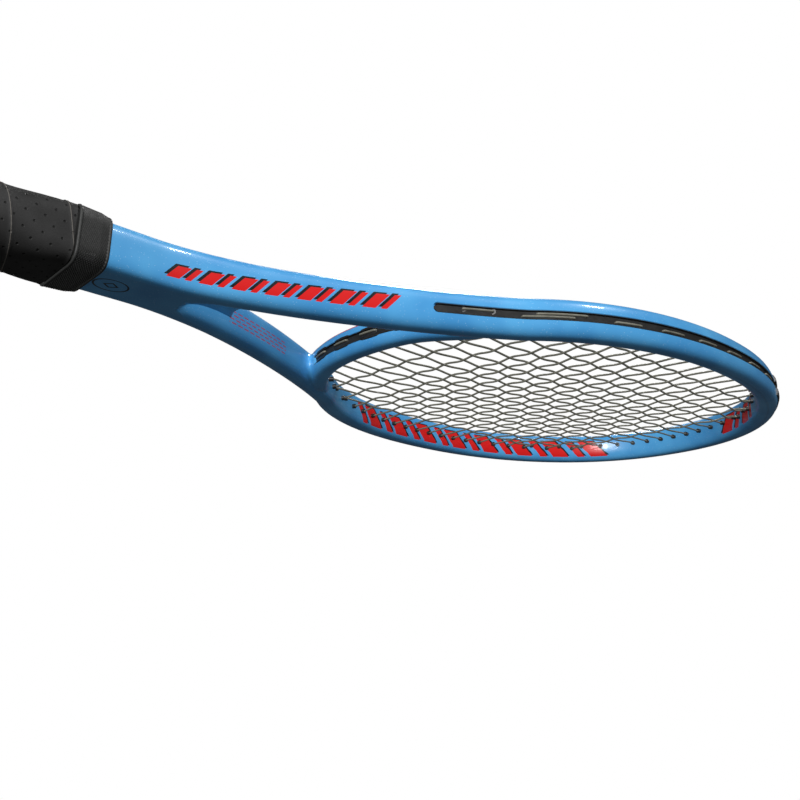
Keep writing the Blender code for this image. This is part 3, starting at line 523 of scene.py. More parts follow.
def corner_columns():
    """The fillings that round off both inner corners between the bridge and the arms."""
    arm_part = HALF.p[(HALF.p[:, 0] > 0.27) & (HALF.p[:, 0] < 0.37)]
    bridge_part = bridge_half()
    arm, bridge = Line(arm_part), Line(bridge_part[bridge_part[:, 1] > 0.035])
    levels = CORNER_TOP * np.sin(np.linspace(-math.pi / 2, math.pi / 2, 23))
    rings = np.array([corner_ring(z, arm, bridge) for z in levels])
    sides = [rings, rings * np.array([1, -1, 1])]
    return joined("corners", [skin("corner", side) for side in sides])


def vertex_places(mesh):
    """Where a mesh's vertices lie along, across and above the racket."""
    values = np.zeros(len(mesh.vertices) * 3)
    mesh.vertices.foreach_get("co", values)
    return values.reshape(-1, 3) - PLACE


def add_reading(mesh, name, values):
    attribute = mesh.attributes.new(name, "FLOAT", "POINT")
    attribute.data.foreach_set("value", np.asarray(values, np.float32))


def frame_mesh():
    """The whole frame, with readings for its paint: length from the tip and reach outward."""
    body = mirrored(half_frame())
    bridge = mirrored(half_bridge())
    mesh = united("frame_lacquer", body, bridge)
    mesh = united("frame_lacquer", mesh, corner_columns())
    bm = bmesh.new()
    bm.from_mesh(mesh)
    bmesh.ops.remove_doubles(bm, verts=bm.verts, dist=0.00001)
    bmesh.ops.triangulate(bm, faces=[f for f in bm.faces if len(f.verts) > 4])
    bm.to_mesh(mesh)
    bm.free()
    places = vertex_places(mesh)
    along, out = OUTLINE.nearest(places[:, :2])
    add_reading(mesh, "along", np.abs(along - OUTLINE.length / 2))
    add_reading(mesh, "out", out)
    add_reading(mesh, "bridge_out", np.where(np.abs(places[:, 1]) < 0.050,
                                             BRIDGE.nearest(places[:, :2])[1], -1.0))
    smooth(mesh, 38)
    return mesh


# ======== materials

class Nodes:
    """Short calls for building the nodes of one material or world."""

    def __init__(self, name, world=False):
        self.owner = (bpy.data.worlds if world else bpy.data.materials).new(name)
        self.owner.use_nodes = True
        self.tree = self.owner.node_tree
        self.shader = self.tree.nodes["Background" if world else "Principled BSDF"]

    def new(self, kind, **settings):
        node = self.tree.nodes.new("ShaderNode" + kind)
        for key, value in settings.items():
            setattr(node, key, value)
        return node

    def link(self, value, socket):
        if isinstance(value, bpy.types.NodeSocket):
            self.tree.links.new(value, socket)
        else:
            socket.default_value = value

    def math(self, operation, a, b=0.0, c=0.0):
        node = self.new("Math", operation=operation)
        for value, socket in zip((a, b, c), node.inputs):
            self.link(value, socket)
        return node.outputs[0]

    def add(self, a, b):
        return self.math("ADD", a, b)

    def sub(self, a, b):
        return self.math("SUBTRACT", a, b)

    def mul(self, a, b):
        return self.math("MULTIPLY", a, b)

    def inside(self, value, low, high):
        """1 where low < value < high."""
        return self.mul(self.math("GREATER_THAN", value, low), self.math("LESS_THAN", value, high))

    def reading(self, name):
        return self.new("Attribute", attribute_name=name).outputs["Fac"]

    def place(self):
        node = self.new("SeparateXYZ")
        self.link(self.new("TexCoord").outputs["Object"], node.inputs[0])
        return node.outputs

    def noise(self, scale, detail=2.0):
        node = self.new("TexNoise")
        node.inputs["Scale"].default_value = scale
        node.inputs["Detail"].default_value = detail
        self.link(self.new("TexCoord").outputs["Object"], node.inputs["Vector"])
        return node.outputs["Fac"]

    def voronoi(self, scale):
        node = self.new("TexVoronoi")
        node.inputs["Scale"].default_value = scale
        self.link(self.new("TexCoord").outputs["Object"], node.inputs["Vector"])
        return node.outputs

    def ramp(self, value, low, high, to_low=0.0, to_high=1.0):
        node = self.new("MapRange")
        for item, socket in zip((value, low, high, to_low, to_high), node.inputs):
            self.link(item, socket)
        return node.outputs[0]

    def mix(self, share, a, b):
        node = self.new("Mix", data_type="RGBA")
        self.link(share, node.inputs[0])
        self.link(a, node.inputs[6])
        self.link(b, node.inputs[7])
        return node.outputs[2]

    def cloud(self, scale, detail, high, dark, pale, low=0.3):
        """Two colours mixed by noise."""
        return self.mix(self.ramp(self.noise(scale, detail), low, high), dark, pale)

    def bump(self, height, strength, distance, under=None):
        node = self.new("Bump")
        node.inputs["Strength"].default_value = strength
        node.inputs["Distance"].default_value = distance
        self.link(height, node.inputs["Height"])
        if under:
            self.link(under, node.inputs["Normal"])
        return node.outputs[0]

    def finish(self, **values):
        for key, value in values.items():
            self.link(value, self.shader.inputs[key.replace("_", " ")])
        return self.owner


PAINT = (0.052, 0.268, 0.575, 1)
PAINT_LIGHT = (0.085, 0.36, 0.68, 1)
RED = (0.60, 0.010, 0.010, 1)
INK = (0.010, 0.012, 0.014, 1)


def bars(n, along, z, start, end, low, high, pitch, slant):
    """Mask of a row of slanted blocks, a broad one and a narrow one in turn."""
    phase = n.math("DIVIDE", n.sub(n.sub(along, start), n.mul(z, slant)), pitch)
    cell = n.math("FRACT", phase)
    block = n.add(n.inside(cell, 0.05, 0.47), n.inside(cell, 0.62, 0.82))
    count = float(round((end - start) / pitch))
    return n.mul(n.mul(block, n.inside(z, low, high)), n.inside(phase, 0.0, count))


SHADOW_ALONG = 0.0011
SHADOW_UP = 0.0009
ARM_ROW = {"start": 0.186, "end": 0.2945, "low": 0.0, "pitch": 0.0155, "slant": 0.9}
HOOP_ROW = {"start": 0.0600, "end": 0.3336, "low": -0.0078, "high": 0.0052, "pitch": 0.0342,
            "slant": 0.9}
TIP_ROW = {"start": 0.0600, "end": 0.1240, "low": -0.0070, "high": 0.0050, "pitch": 0.0320,
           "slant": 0.9}
DASH_HALF_HEIGHT = 0.0042
DASH_ROW_PITCH = 0.0021
DASH_PITCH = 0.0052
MARK_X = 0.1690
MARK_HALF_LENGTH = 0.0085
MARK_HALF_WIDTH = 0.0062


def graphic(n, colour, side, along, z, **row):
    """Lays red blocks with a black offset shadow over a colour, on one side of the tube."""
    red = n.mul(bars(n, along, z, **row), side)
    shadow = n.mul(bars(n, n.add(along, SHADOW_ALONG), n.sub(z, SHADOW_UP), **row), side)
    return n.mix(red, n.mix(shadow, colour, INK), RED)


def sparkle(n, colour):
    """Pale flakes scattered in the paint."""
    cells = n.voronoi(1400.0)
    chosen = n.new("SeparateColor")
    n.link(cells["Color"], chosen.inputs[0])
    flake = n.math("LESS_THAN", cells["Distance"], 0.22)
    flake = n.mul(flake, n.math("GREATER_THAN", chosen.outputs[0], 0.86))
    return n.mix(n.mul(flake, 0.70), colour, (0.42, 0.66, 0.86, 1))


def block_rows(n, colour, x, y, z, outer, inner, along):
    """Rows of blocks outside both arms and inside both sides of the hoop."""
    lifted = n.add(n.sub(z, n.mul(n.sub(x, 0.187), 0.024)), 0.0066)
    tall = n.add(0.0060, n.mul(n.sub(x, 0.187), 0.019))
    colour = graphic(n, colour, n.mul(outer, n.inside(x, 0.178, 0.305)), x, lifted, high=tall,
                     **ARM_ROW)
    left, right = n.math("GREATER_THAN", y, 0.0), n.math("LESS_THAN", y, 0.0)
    colour = graphic(n, colour, n.mul(inner, left), along, z, **HOOP_ROW)
    return graphic(n, colour, n.mul(inner, right), along, z, **TIP_ROW)


def arm_dashes(n, colour, x, z, inner):
    """Four fine rows of dashes inside each arm."""
    rows = n.math("DIVIDE", n.add(z, DASH_HALF_HEIGHT), DASH_ROW_PITCH)
    shift = n.mul(n.math("FLOOR", rows), 0.37)
    beat = n.math("FRACT", n.add(n.math("DIVIDE", x, DASH_PITCH), shift))
    dashes = n.mul(n.math("LESS_THAN", n.math("FRACT", rows), 0.42),
                   n.math("LESS_THAN", beat, 0.74))
    panel = n.mul(n.mul(n.inside(x, 0.2425, 0.296),
                        n.inside(z, -DASH_HALF_HEIGHT, DASH_HALF_HEIGHT)), inner)
    return n.mix(n.mul(n.mul(dashes, panel), 0.7), colour, (0.42, 0.02, 0.03, 1))


def shaft_mark(n, colour, x, y, z):
    """A diamond in an oval on the shaft's upper and lower faces."""
    across = n.math("DIVIDE", n.sub(x, MARK_X), MARK_HALF_LENGTH)
    up = n.math("DIVIDE", y, MARK_HALF_WIDTH)
    oval = n.add(n.mul(across, across), n.mul(up, up))
    diamond = n.add(n.math("ABSOLUTE", across), n.math("ABSOLUTE", up))
    lines = n.math("MAXIMUM", n.inside(oval, 0.80, 1.0), n.inside(diamond, 0.30, 0.46))
    faces = n.math("GREATER_THAN", n.math("ABSOLUTE", z), 0.0095)
    return n.mix(n.mul(lines, faces), colour, INK)


def lacquer():
    n = Nodes("blue_lacquer")
    along, out, bridge = n.reading("along"), n.reading("out"), n.reading("bridge_out")
    x, y, z = n.place()
    x, z = n.sub(x, BUTT_X), n.sub(z, PLANE_Z)
    outer, inner = n.math("GREATER_THAN", out, 0.0010), n.math("LESS_THAN", out, -0.0005)
    base = n.cloud(35.0, 2.0, 0.7, PAINT, PAINT_LIGHT, low=0.35)
    base = sparkle(n, base)
    base = block_rows(n, base, x, y, z, outer, inner, along)
    base = arm_dashes(n, base, x, z, inner)
    base = shaft_mark(n, base, x, y, z)
    pin_line = n.mul(n.inside(z, 0.0068, 0.0076), n.inside(bridge, 0.0, 0.008))
    base = n.mix(pin_line, base, RED)
    rough = n.ramp(n.noise(60.0), 0.3, 0.7, 0.30, 0.38)
    return n.finish(Base_Color=base, Roughness=rough, Coat_Weight=0.35, Coat_Roughness=0.08,
                    Specular_IOR_Level=0.3, Normal=n.bump(n.noise(180.0, 3.0), 0.05, 0.0004))


def moulded(name, colour, lighter, roughness, grain=900.0):
    n = Nodes(name)
    rough = n.ramp(n.noise(400.0), 0.3, 0.7, roughness - 0.06, roughness + 0.06)
    return n.finish(Base_Color=n.cloud(140.0, 3.0, 0.7, colour, lighter), Roughness=rough,
                    Normal=n.bump(n.noise(grain, 2.0), 0.5, 0.00008))


def string_material():
    n = Nodes("string_olive")
    cloud = n.ramp(n.noise(260.0, 2.0), 0.3, 0.7)
    colour = n.mix(cloud, (0.125, 0.123, 0.098, 1), (0.185, 0.182, 0.148, 1))
    return n.finish(Base_Color=colour, Roughness=n.ramp(cloud, 0, 1, 0.38, 0.48),
                    Normal=n.bump(n.noise(1800.0, 1.0), 0.4, 0.00006))


def dimples(n):
    """1 in the middle of each small pit of the staggered rows round the grip."""
    rows = n.math("DIVIDE", n.reading("run"), DIMPLE_ROW)
    odd = n.mul(n.math("FLOORED_MODULO", n.math("FLOOR", rows), 2.0), 0.5)
    across = n.mul(n.sub(n.math("FRACT", rows), 0.5), DIMPLE_ROW)
    around = n.mul(n.sub(n.math("FRACT", n.add(n.reading("around"), odd)), 0.5), DIMPLE_PITCH)
    reach = n.math("SQRT", n.add(n.mul(across, across), n.mul(around, around)))
    return n.ramp(reach, 0.00062, 0.00036)


def grip_material():
    n = Nodes("grip_tape")
    hole = dimples(n)
    turns = n.sub(n.math("DIVIDE", n.sub(n.reading("run"), GRIP_PHASE), GRIP_PITCH),
                  n.math("DIVIDE", n.reading("around"), float(DIMPLES_ROUND)))
    apart = n.mul(n.math("ABSOLUTE", n.sub(turns, n.math("ROUND", turns))), GRIP_PITCH)
    seam = n.ramp(apart, 0.00026, 0.00012)
    fine = n.noise(1500.0, 3.0)
    colour = n.cloud(90.0, 4.0, 0.75, (0.016, 0.016, 0.016, 1), (0.028, 0.028, 0.028, 1))
    # painted shade: each pit darker than the tape round it
    colour = n.mix(hole, colour, (0.0015, 0.0015, 0.0015, 1))
    colour = n.mix(seam, colour, (0.105, 0.097, 0.088, 1))
    pits = n.bump(n.add(n.sub(1.0, hole), n.mul(seam, 0.5)), 0.7, 0.0004)
    return n.finish(Base_Color=colour, Roughness=n.ramp(fine, 0.3, 0.7, 0.56, 0.70),
                    Specular_IOR_Level=0.3, Normal=n.bump(fine, 0.35, 0.00012, pits))


def rubber_material():
    n = Nodes("collar_rubber")
    colour = n.cloud(700.0, 3.0, 0.7, (0.012, 0.0125, 0.012, 1), (0.021, 0.022, 0.021, 1))
    # painted shade: darker in the valleys between the ribs
    colour = n.mix(n.ramp(n.reading("valley_shade"), 0.25, 0.8), colour, (0.0015, 0.0015, 0.0015, 1))
    colour = n.mix(n.reading("rim"), colour, (0.024, 0.025, 0.024, 1))
    colour = n.mix(n.reading("edge"), colour, (0.020, 0.010, 0.004, 1))
    return n.finish(Base_Color=colour, Roughness=n.ramp(n.noise(500.0), 0.3, 0.7, 0.55, 0.68),
                    Normal=n.bump(n.noise(1200.0, 2.0), 0.4, 0.0001))


def foam_material():
    n = Nodes("pallet_foam")
    cells = n.voronoi(900.0)["Distance"]
    colour = n.mix(n.ramp(cells, 0.0, 0.6), (0.52, 0.46, 0.33, 1), (0.70, 0.64, 0.49, 1))
    return n.finish(Base_Color=colour, Roughness=0.85, Normal=n.bump(cells, 0.6, 0.0002))


def steel_material():
    n = Nodes("staple_wire")
    streak = n.noise(2500.0, 1.0)
    return n.finish(Base_Color=n.mix(streak, (0.45, 0.45, 0.47, 1), (0.70, 0.70, 0.72, 1)),
                    Metallic=1.0, Roughness=n.ramp(streak, 0.3, 0.7, 0.22, 0.4))


# ======== strings and trim

def string_end(line, inside, place, along, sign):
    """Length along the line, barrel mouth and groove seat of one end of a string run."""
    fixed = 1 - along
    mouths = line.p - line.n * inside
    hit = np.flatnonzero(np.diff(np.sign(mouths[:, fixed] - place)) != 0)
    middle = (HEAD_X, 0.0)[along]
    hit = [i for i in hit if (mouths[i, along] - middle) * sign > 0]
    best = min(hit, key=lambda i: mouths[i, along] * sign)
    return line.s[best], mouths[best], (line.p + line.n * (TUBE_OUT - SEAT_DEPTH))[best]


def throat_side():
    """The bridge and the rear of the hoop, as one line, for mouths beside the bridge."""
    rear = hoop_points(np.linspace(HOOP_END / 2, HOOP_END, 800))
    bridge = bridge_half()
    half = np.concatenate([rear, bridge[bridge[:, 1] > 0]])
    return Line(np.concatenate([half, half[::-1] * np.array([1, -1])]))


def string_ends():
    """For each (kind, number, end): the line's name, length along it, mouth and seat."""
    ends = {}
    inside = TUBE_OUT + BARREL_LENGTH + STRING_BEND
    narrow = BRIDGE_OUT - TUBE_OUT
    throat = throat_side()
    seats = BRIDGE.p + BRIDGE.n * (BRIDGE_OUT - SEAT_DEPTH)
    for m, y in enumerate(MAINS):
        ends["main", m, 1] = ("hoop", *string_end(OUTLINE, inside, y, 0, 1))
        mouth = string_end(throat, inside + narrow, y, 0, -1)[1]
        if m in BRIDGE_MAINS:
            i = np.argmin(np.abs(seats[:, 1] - y))
            ends["main", m, -1] = ("bridge", BRIDGE.s[i], mouth, seats[i])
        else:
            back = SEAT_BACK if m in SIDE_MAINS else 0.0
            i = np.argmin(np.linalg.norm(OUTLINE.p - mouth + np.array([back, 0.0]), axis=1))
            seat = OUTLINE.p[i] + OUTLINE.n[i] * (TUBE_OUT - SEAT_DEPTH)
            ends["main", m, -1] = ("hoop", OUTLINE.s[i], mouth, seat)
    for c, x in enumerate(CROSSES):
        for side in (-1, 1):
            ends["cross", c, side] = ("hoop", *string_end(OUTLINE, inside, x, 1, side))
    return ends


def weave_knots(kind, number, low, high):
    """(place, height) along a run: over and under in turn at the strings it crosses."""
    knots = [(low, LANES[kind])]
    for i, mark in enumerate(CROSSES if kind == "main" else MAINS):
        if low + 0.002 < mark < high - 0.002:
            down = (number + i) % 2 == int(kind == "cross")
            knots.append((mark, WEAVE_Z + (-WEAVE if down else WEAVE)))
    return knots + [(high, LANES[kind])]


def weave_run(kind, number, start, stop):
    """Points of one woven run between two mouths."""
    axis = 0 if kind == "main" else 1
    low, high = sorted((start[axis], stop[axis]))
    knots = weave_knots(kind, number, low, high)
    places, heights = [], []
    for (p, h), (q, k) in zip(knots, knots[1:]):
        count = max(3, int((q - p) / WEAVE_STEP))
        share = np.arange(count) / count
        places += list(p + (q - p) * share)
        heights += list(h + (k - h) * smoothstep(share))
    points = np.full((len(places) + 1, 3), start[1 - axis])
    points[:, axis] = places + [high]
    points[:, 2] = heights + [LANES[kind]]
    if start[axis] > stop[axis]:
        points = points[::-1]
    points[-1, 1 - axis] = stop[1 - axis]
    return points


def string_points(kind, count, ends):
    """Path of one long string: a run, a loop round the outside, the next run, and so on."""
    lane = LANES[kind]
    points, end = [], 1
    for k in range(count):
        start, stop = ends[kind, k, end], ends[kind, k, -end]
        points.append([*start[3], lane])
        points += weave_run(kind, k, start[2], stop[2]).tolist()
        points.append([*stop[3], lane])
        if k + 1 < count:
            onward = ends[kind, k + 1, -end]
            line = OUTLINE if stop[0] == "hoop" else BRIDGE
            wide = TUBE_OUT if stop[0] == "hoop" else BRIDGE_OUT
            count_steps = max(4, int(abs(stop[1] - onward[1]) / LOOP_STEP))
            steps = np.linspace(stop[1], onward[1], count_steps)
            p, n = line.at(steps[1:-1])
            arch = np.sin(np.linspace(0, math.pi, len(steps)))[1:-1] * LOOP_ARCH
            loop = p + n * (wide - SEAT_DEPTH + arch)[:, None]
            points += [[q[0], q[1], lane] for q in loop]
        end = -end
    return np.array(points)


def eased(points):
    """Each sharp corner of a path replaced by a short curve."""
    out = [points[0]]
    for a, b, c in zip(points, points[1:], points[2:]):
        back, on = a - b, c - b
        la, lb = np.linalg.norm(back), np.linalg.norm(on)
        if la < 1e-6 or lb < 1e-6:
            continue
        turn = math.acos(max(-1, min(1, -(back @ on) / la / lb)))
        if turn < 0.25:
            out.append(b)
            continue
        cut = min(LOOP_BEND, la / 2.5, lb / 2.5)
        first, last = b + back / la * cut, b + on / lb * cut
        for t in (0.0, 0.25, 0.5, 0.75, 1.0):
            out.append(first * (1 - t) ** 2 + b * 2 * t * (1 - t) + last * t * t)
    out.append(points[-1])
    return np.array(out)


def string_mesh(name, points):
    """A round tube along a path, its ring turned as little as possible from point to point."""
    ahead = np.gradient(points, axis=0)
    ahead /= np.linalg.norm(ahead, axis=1)[:, None]
    up = np.array([0.0, 0.0, 1.0])
    angle = np.arange(STRING_SIDES) * 2 * math.pi / STRING_SIDES
    rings = []
    radii = np.full(len(points), STRING_RADIUS)
    radii[0] = radii[-1] = STRING_RADIUS / 2
    for p, t, r in zip(points, ahead, radii):
        up = up - t * (up @ t)
        up /= np.linalg.norm(up)
        side = np.cross(t, up)
        rings.append(p + r * (np.cos(angle)[:, None] * up + np.sin(angle)[:, None] * side))
    return skin(name, np.array(rings), sharp=60)


def make_strings(ends, material):
    for kind, count, node in (("main", 16, "main_string"), ("cross", 19, "cross_string")):
        path = eased(string_points(kind, count, ends))
        add_piece(f"woven_{node}", string_mesh(node, path), "racket", material, "string", node)


def barrel(mouth, seat, z):
    """A grommet barrel: a round tube with a rolled mouth, turned about its own axis."""
    start = np.array([*mouth, z])
    way = np.array([*seat, z]) - start
    length = np.linalg.norm(way) - STRING_BEND
    way /= length + STRING_BEND
    start += way * STRING_BEND
    side = np.cross(way, [0, 0, 1.0])
    rolled, end = BARREL_RADIUS + BARREL_ROLL, length - 0.0009
    profile = [(0.0001, BARREL_BORE), (0.0, BARREL_BORE + 0.00012), (0.0, BARREL_RADIUS + 0.00004),
               (0.00012, rolled), (0.00035, rolled), (0.0005, BARREL_RADIUS),
               (end, BARREL_RADIUS), (end, BARREL_BORE), (0.0012, BARREL_BORE)]
    angle = np.arange(14) * 2 * math.pi / 14
    rings = [start + way * along + r * (np.cos(angle)[:, None] * side
                                        + np.sin(angle)[:, None] * np.array([0, 0, 1.0]))
             for along, r in profile]
    return skin("barrel", np.array(rings), wrap_rows=True)


def rounded_profile(points):
    """Adds a point near each corner so that shading keeps the faces flat."""
    out = []
    points = np.array(points)
    for a, b, c in zip(np.roll(points, 1, axis=0), points, np.roll(points, -1, axis=0)):
        for other in (a, c):
            way = other - b
            size = np.linalg.norm(way)
            out.append(b + way / size * min(0.0001, size / 3))
    return np.array(out)


def strip_profile():
    """Section of the channel that lies in the groove."""
    wide = GROOVE_HALF - 0.0003
    bottom, floor, top = -GROOVE_DEPTH + 0.0003, -GROOVE_DEPTH + 0.0009, -0.0002
    return rounded_profile([(bottom, -wide * 0.93), (bottom, wide * 0.93), (top, wide),
                            (top, wide - 0.0004), (floor, wide - 0.0005), (floor, -wide + 0.0005),
                            (top, -wide + 0.0004), (top, -wide)])


def bumper_profile():
    """Section of the bumper: it lies in the groove and laps over both its edges."""
    wide, edge = GROOVE_HALF - 0.0003, 0.0072
    bottom, floor = -GROOVE_DEPTH + 0.0003, -GROOVE_DEPTH + 0.0009
    lip = TUBE_OUT * ((1 - (edge / TUBE_HALF_HEIGHT) ** 2.8) ** (1 / 2.8) - 1)
    half = [(floor, wide - 0.0005), (0.0006, wide - 0.0003), (BUMPER_PROUD, wide + 0.0004),
            (BUMPER_PROUD, edge * 0.62), (lip + 0.0009, edge - 0.0006), (lip + 0.0003, edge),
            (-0.0006, edge * 0.62), (-0.0004, wide + 0.0003), (bottom, wide * 0.93)]
    return rounded_profile(half + [(u, -z) for u, z in reversed(half)])


def swept(line, wide, first, last, profile, taper):
    """A profile carried along a line's outer face; taper narrows it at round ends."""
    s = stations(last - first, 0.003, [0.0, last - first], 0.0003, 0.0025) + first
    p, n = line.at(s)
    rings = []
    for at in s:
        ring = profile.copy()
        if taper:
            into = max(1e-4, min(at - first, last - at))
            ring[:, 1] *= max(0.05, groove_half_at(into) / GROOVE_HALF)
        rings.append(ring)
    return skin("swept", rings_along(p + n * wide, n, rings))


PAD = {"rows": 13, "sides": 16, "blunt": 4, "least": 0.02, "level": -0.00155, "rise": 0.00055,
       "reach": 0.0017, "rounding": 0.6}
EAR = {"rows": 15, "sides": 14, "blunt": 3, "least": 0.03, "level": -0.0004, "rise": 0.0008,
       "reach": 0.0008, "rounding": 1.0}
EAR_Z = 0.0027
BUMPER_GAP = 0.0012


def bead(line, wide, first, last, middle, rows, sides, blunt, least, level, rise, reach, rounding):
    """A raised round-ended land along a line, with its middle at a height across the groove."""
    p, n = line.at(np.linspace(first, last, rows))
    angle = np.linspace(0, 2 * math.pi, sides, endpoint=False)
    rings = []
    for k in range(rows):
        full = math.sqrt(max(0.0, 1 - abs(2 * k / (rows - 1) - 1) ** blunt))
        size = full * (1 - least) + least
        u = level + rise * size * np.sin(angle)
        z = middle + reach * size * power(np.cos(angle), rounding)
        rings.append(np.stack([u, z], axis=1))
    return skin("bead", rings_along(p + n * wide, n, rings))


def barrels(ends, name, low, high):
    """The barrels whose strings leave one line between two lengths along it."""
    return [barrel(mouth, seat, LANES[kind]) for (kind, _, _), (line, s, mouth, seat) in ends.items()
            if line == name and low < s < high]


def loops(ends, name, low, high):
    """(first, last) lengths along the line of each loop that a string makes there."""
    out = []
    for kind, count in (("main", 16), ("cross", 19)):
        for k in range(count - 1):
            end = -1 if k % 2 == 0 else 1
            a, b = ends[kind, k, end], ends[kind, k + 1, end]
            if a[0] == name and low < a[1] < high:
                out.append(sorted((a[1], b[1])))
    return out


def make_hoop_trim(ends, material):
    """The two side strips and the bumper, end to end round the hoop."""
    half = OUTLINE.length / 2
    bumper = float(np.abs(OUTLINE.s - half)[
        np.argmin(np.linalg.norm(OUTLINE.p - hoop_points(np.array([BUMPER_ANGLE])), axis=1))])
    reach = half - float(OUTLINE.s[np.argmax(OUTLINE.p[:, 0] > GROOVE_END_X + 0.0006)])
    strip, guard = strip_profile(), bumper_profile()
    for node, first, last, profile, taper, spare in (
            ("grommet_strip_right", half - reach, half - bumper - BUMPER_GAP, strip, True, 0.0),
            ("grommet_strip_left", half + bumper + BUMPER_GAP, half + reach, strip, True, 0.0),
            ("bumper_guard", half - bumper, half + bumper, guard, False, 0.001)):
        parts = [swept(OUTLINE, TUBE_OUT, first, last, profile, taper)]
        parts += barrels(ends, "hoop", first - spare, last + spare)
        add_piece(f"moulded_{node}", joined(node, parts), "racket", material, "trim_nylon", node)


def make_throat_trim(ends, material):
    """The bridge's strip, with a pad and two ridges at each loop of the string."""
    middle = BRIDGE.length / 2
    reach = abs(BRIDGE.length_at(1, BRIDGE_STRIP_Y) - middle)
    parts = [swept(BRIDGE, BRIDGE_OUT, middle - reach, middle + reach, strip_profile(), True)]
    parts += barrels(ends, "bridge", 0, BRIDGE.length)
    for a, b in loops(ends, "bridge", 0, BRIDGE.length):
        parts.append(bead(BRIDGE, BRIDGE_OUT, a - 0.0012, b + 0.0012, 0.0, **PAD))
        parts += [bead(BRIDGE, BRIDGE_OUT, a + 0.0005, b + 0.0030, z, **EAR) for z in (-EAR_Z, EAR_Z)]
    add_piece("moulded_throat_strip", joined("throat", parts), "racket", material, "trim_nylon",
              "throat_grommet_strip")


# ======== handle

GRIP_PITCH = 0.0252
GRIP_PHASE = 0.1099
GRIP_REAR_X = 0.0045
GRIP_LIP_X = 0.1428
GRIP_ROW = 0.0007
GRIP_FRONT = [0.1436, 0.1470, 0.1500]
GRIP_INSIDE = [0.1500, 0.1470, 0.1436, 0.1410, 0.1300, 0.1150, 0.0260, 0.0150, 0.0045]
GRIP_COLUMNS = 150
TAPE_THICKNESS = 0.0010
SEAM_WIDTH = 0.00060
SEAM_HEIGHT = 0.00034
LAP_STEP = 0.0004
DIMPLES_ROUND = 15
DIMPLE_PITCH = 0.0075
DIMPLE_ROW = 0.0040
FLARE = [(0.0045, 0.0204, 0.0185), (0.0080, 0.0203, 0.0184), (0.0150, 0.0191, 0.0172),
         (0.0260, 0.0180, 0.0162), (0.0400, 0.0179, 0.0161), (0.1000, 0.0179, 0.0161),
         (0.1280, 0.0181, 0.0151), (0.1428, 0.0187, 0.0141),
         (0.1436, 0.0178, 0.0125), (0.1500, 0.0178, 0.0125)]


def facet_ring(half_width, half_height, cut, round_by, count):
    """Even points round an octagon with round corners, from the top middle towards -Y."""
    c = cut * half_height
    corners = np.array([(-half_width + c, half_height), (-half_width, half_height - c),
                        (-half_width, -half_height + c), (-half_width + c, -half_height),
                        (half_width - c, -half_height), (half_width, -half_height + c),
                        (half_width, half_height - c), (half_width - c, half_height)])
    path = [np.array([0.0, half_height])]
    for i, here in enumerate(corners):
        first, last = (here + way * min(0.49, round_by / np.linalg.norm(way))
                       for way in (corners[i - 1] - here, corners[(i + 1) % 8] - here))
        for t in np.linspace(0, 1, 9):
            path.append(first * (1 - t) ** 2 + here * 2 * t * (1 - t) + last * t * t)
    ring = evenly(np.array(path + path[:1]), count + 1)[:-1]
    ahead = np.roll(ring, -1, axis=0) - np.roll(ring, 1, axis=0)
    ahead /= np.linalg.norm(ahead, axis=1)[:, None]
    return ring, np.stack([ahead[:, 1], -ahead[:, 0]], axis=1)


def handle_ring(x, inset, count):
    """Ring of the handle's outside at x, with sharper corners near the collar, and its normals."""
    xs, widths, heights = np.array(FLARE).T
    width, height = np.interp(x, xs, widths) - inset, np.interp(x, xs, heights) - inset
    blend = float(smoothstep((x - 0.112) / 0.030))
    return facet_ring(width, height, 0.52 - 0.26 * blend, 0.0074 - 0.0030 * blend, count)


def wrap_lift(x, q):
    """How far the tape stands out at each place round the grip: a lapped step and a seam."""
    phase = np.mod((x - GRIP_PHASE) / GRIP_PITCH - q, 1.0)
    apart = np.minimum(phase, 1 - phase) * GRIP_PITCH
    seam = np.exp(-(apart / SEAM_WIDTH) ** 2)
    ease = float(smoothstep((x - GRIP_REAR_X) / 0.002) * smoothstep((GRIP_LIP_X - x) / 0.001))
    return (seam * SEAM_HEIGHT - LAP_STEP * (phase - 0.5) * 0.6 - LAP_STEP / 2) * ease


def grip_mesh():
    """The wound grip: each turn laps the one before it, with a thin raised seam."""
    q = np.arange(GRIP_COLUMNS) / GRIP_COLUMNS
    rings = []
    for x in np.concatenate([np.arange(GRIP_REAR_X, GRIP_LIP_X, GRIP_ROW), [GRIP_LIP_X],
                             GRIP_FRONT]):
        ring, normal = handle_ring(x, 0.0, GRIP_COLUMNS)
        rings.append(np.insert(ring + normal * wrap_lift(x, q)[:, None], 0, x, axis=1))
    for x in GRIP_INSIDE:
        rings.append(np.insert(handle_ring(x, TAPE_THICKNESS, GRIP_COLUMNS)[0], 0, x, axis=1))
    mesh = skin("grip", np.array(rings), sharp=60, wrap_rows=True)
    add_wrap_places(mesh, np.array(rings))
    return mesh


def add_wrap_places(mesh, rings):
    """Puts on each face corner its place along the grip and, in dimples, round it."""
    count = rings.shape[1]
    corner = np.zeros(len(mesh.loops), int)
    mesh.loops.foreach_get("vertex_index", corner)
    column = (corner % count).reshape(-1, 4)
    wraps = column.max(axis=1, keepdims=True) - column.min(axis=1, keepdims=True) > count / 2
    column = column + count * (wraps & (column < count / 2))
    around = mesh.attributes.new("around", "FLOAT", "CORNER")
    around.data.foreach_set("value", (column.reshape(-1) / count * DIMPLES_ROUND).astype("f"))
    add_reading(mesh, "run", rings[:, :, 0].reshape(-1))


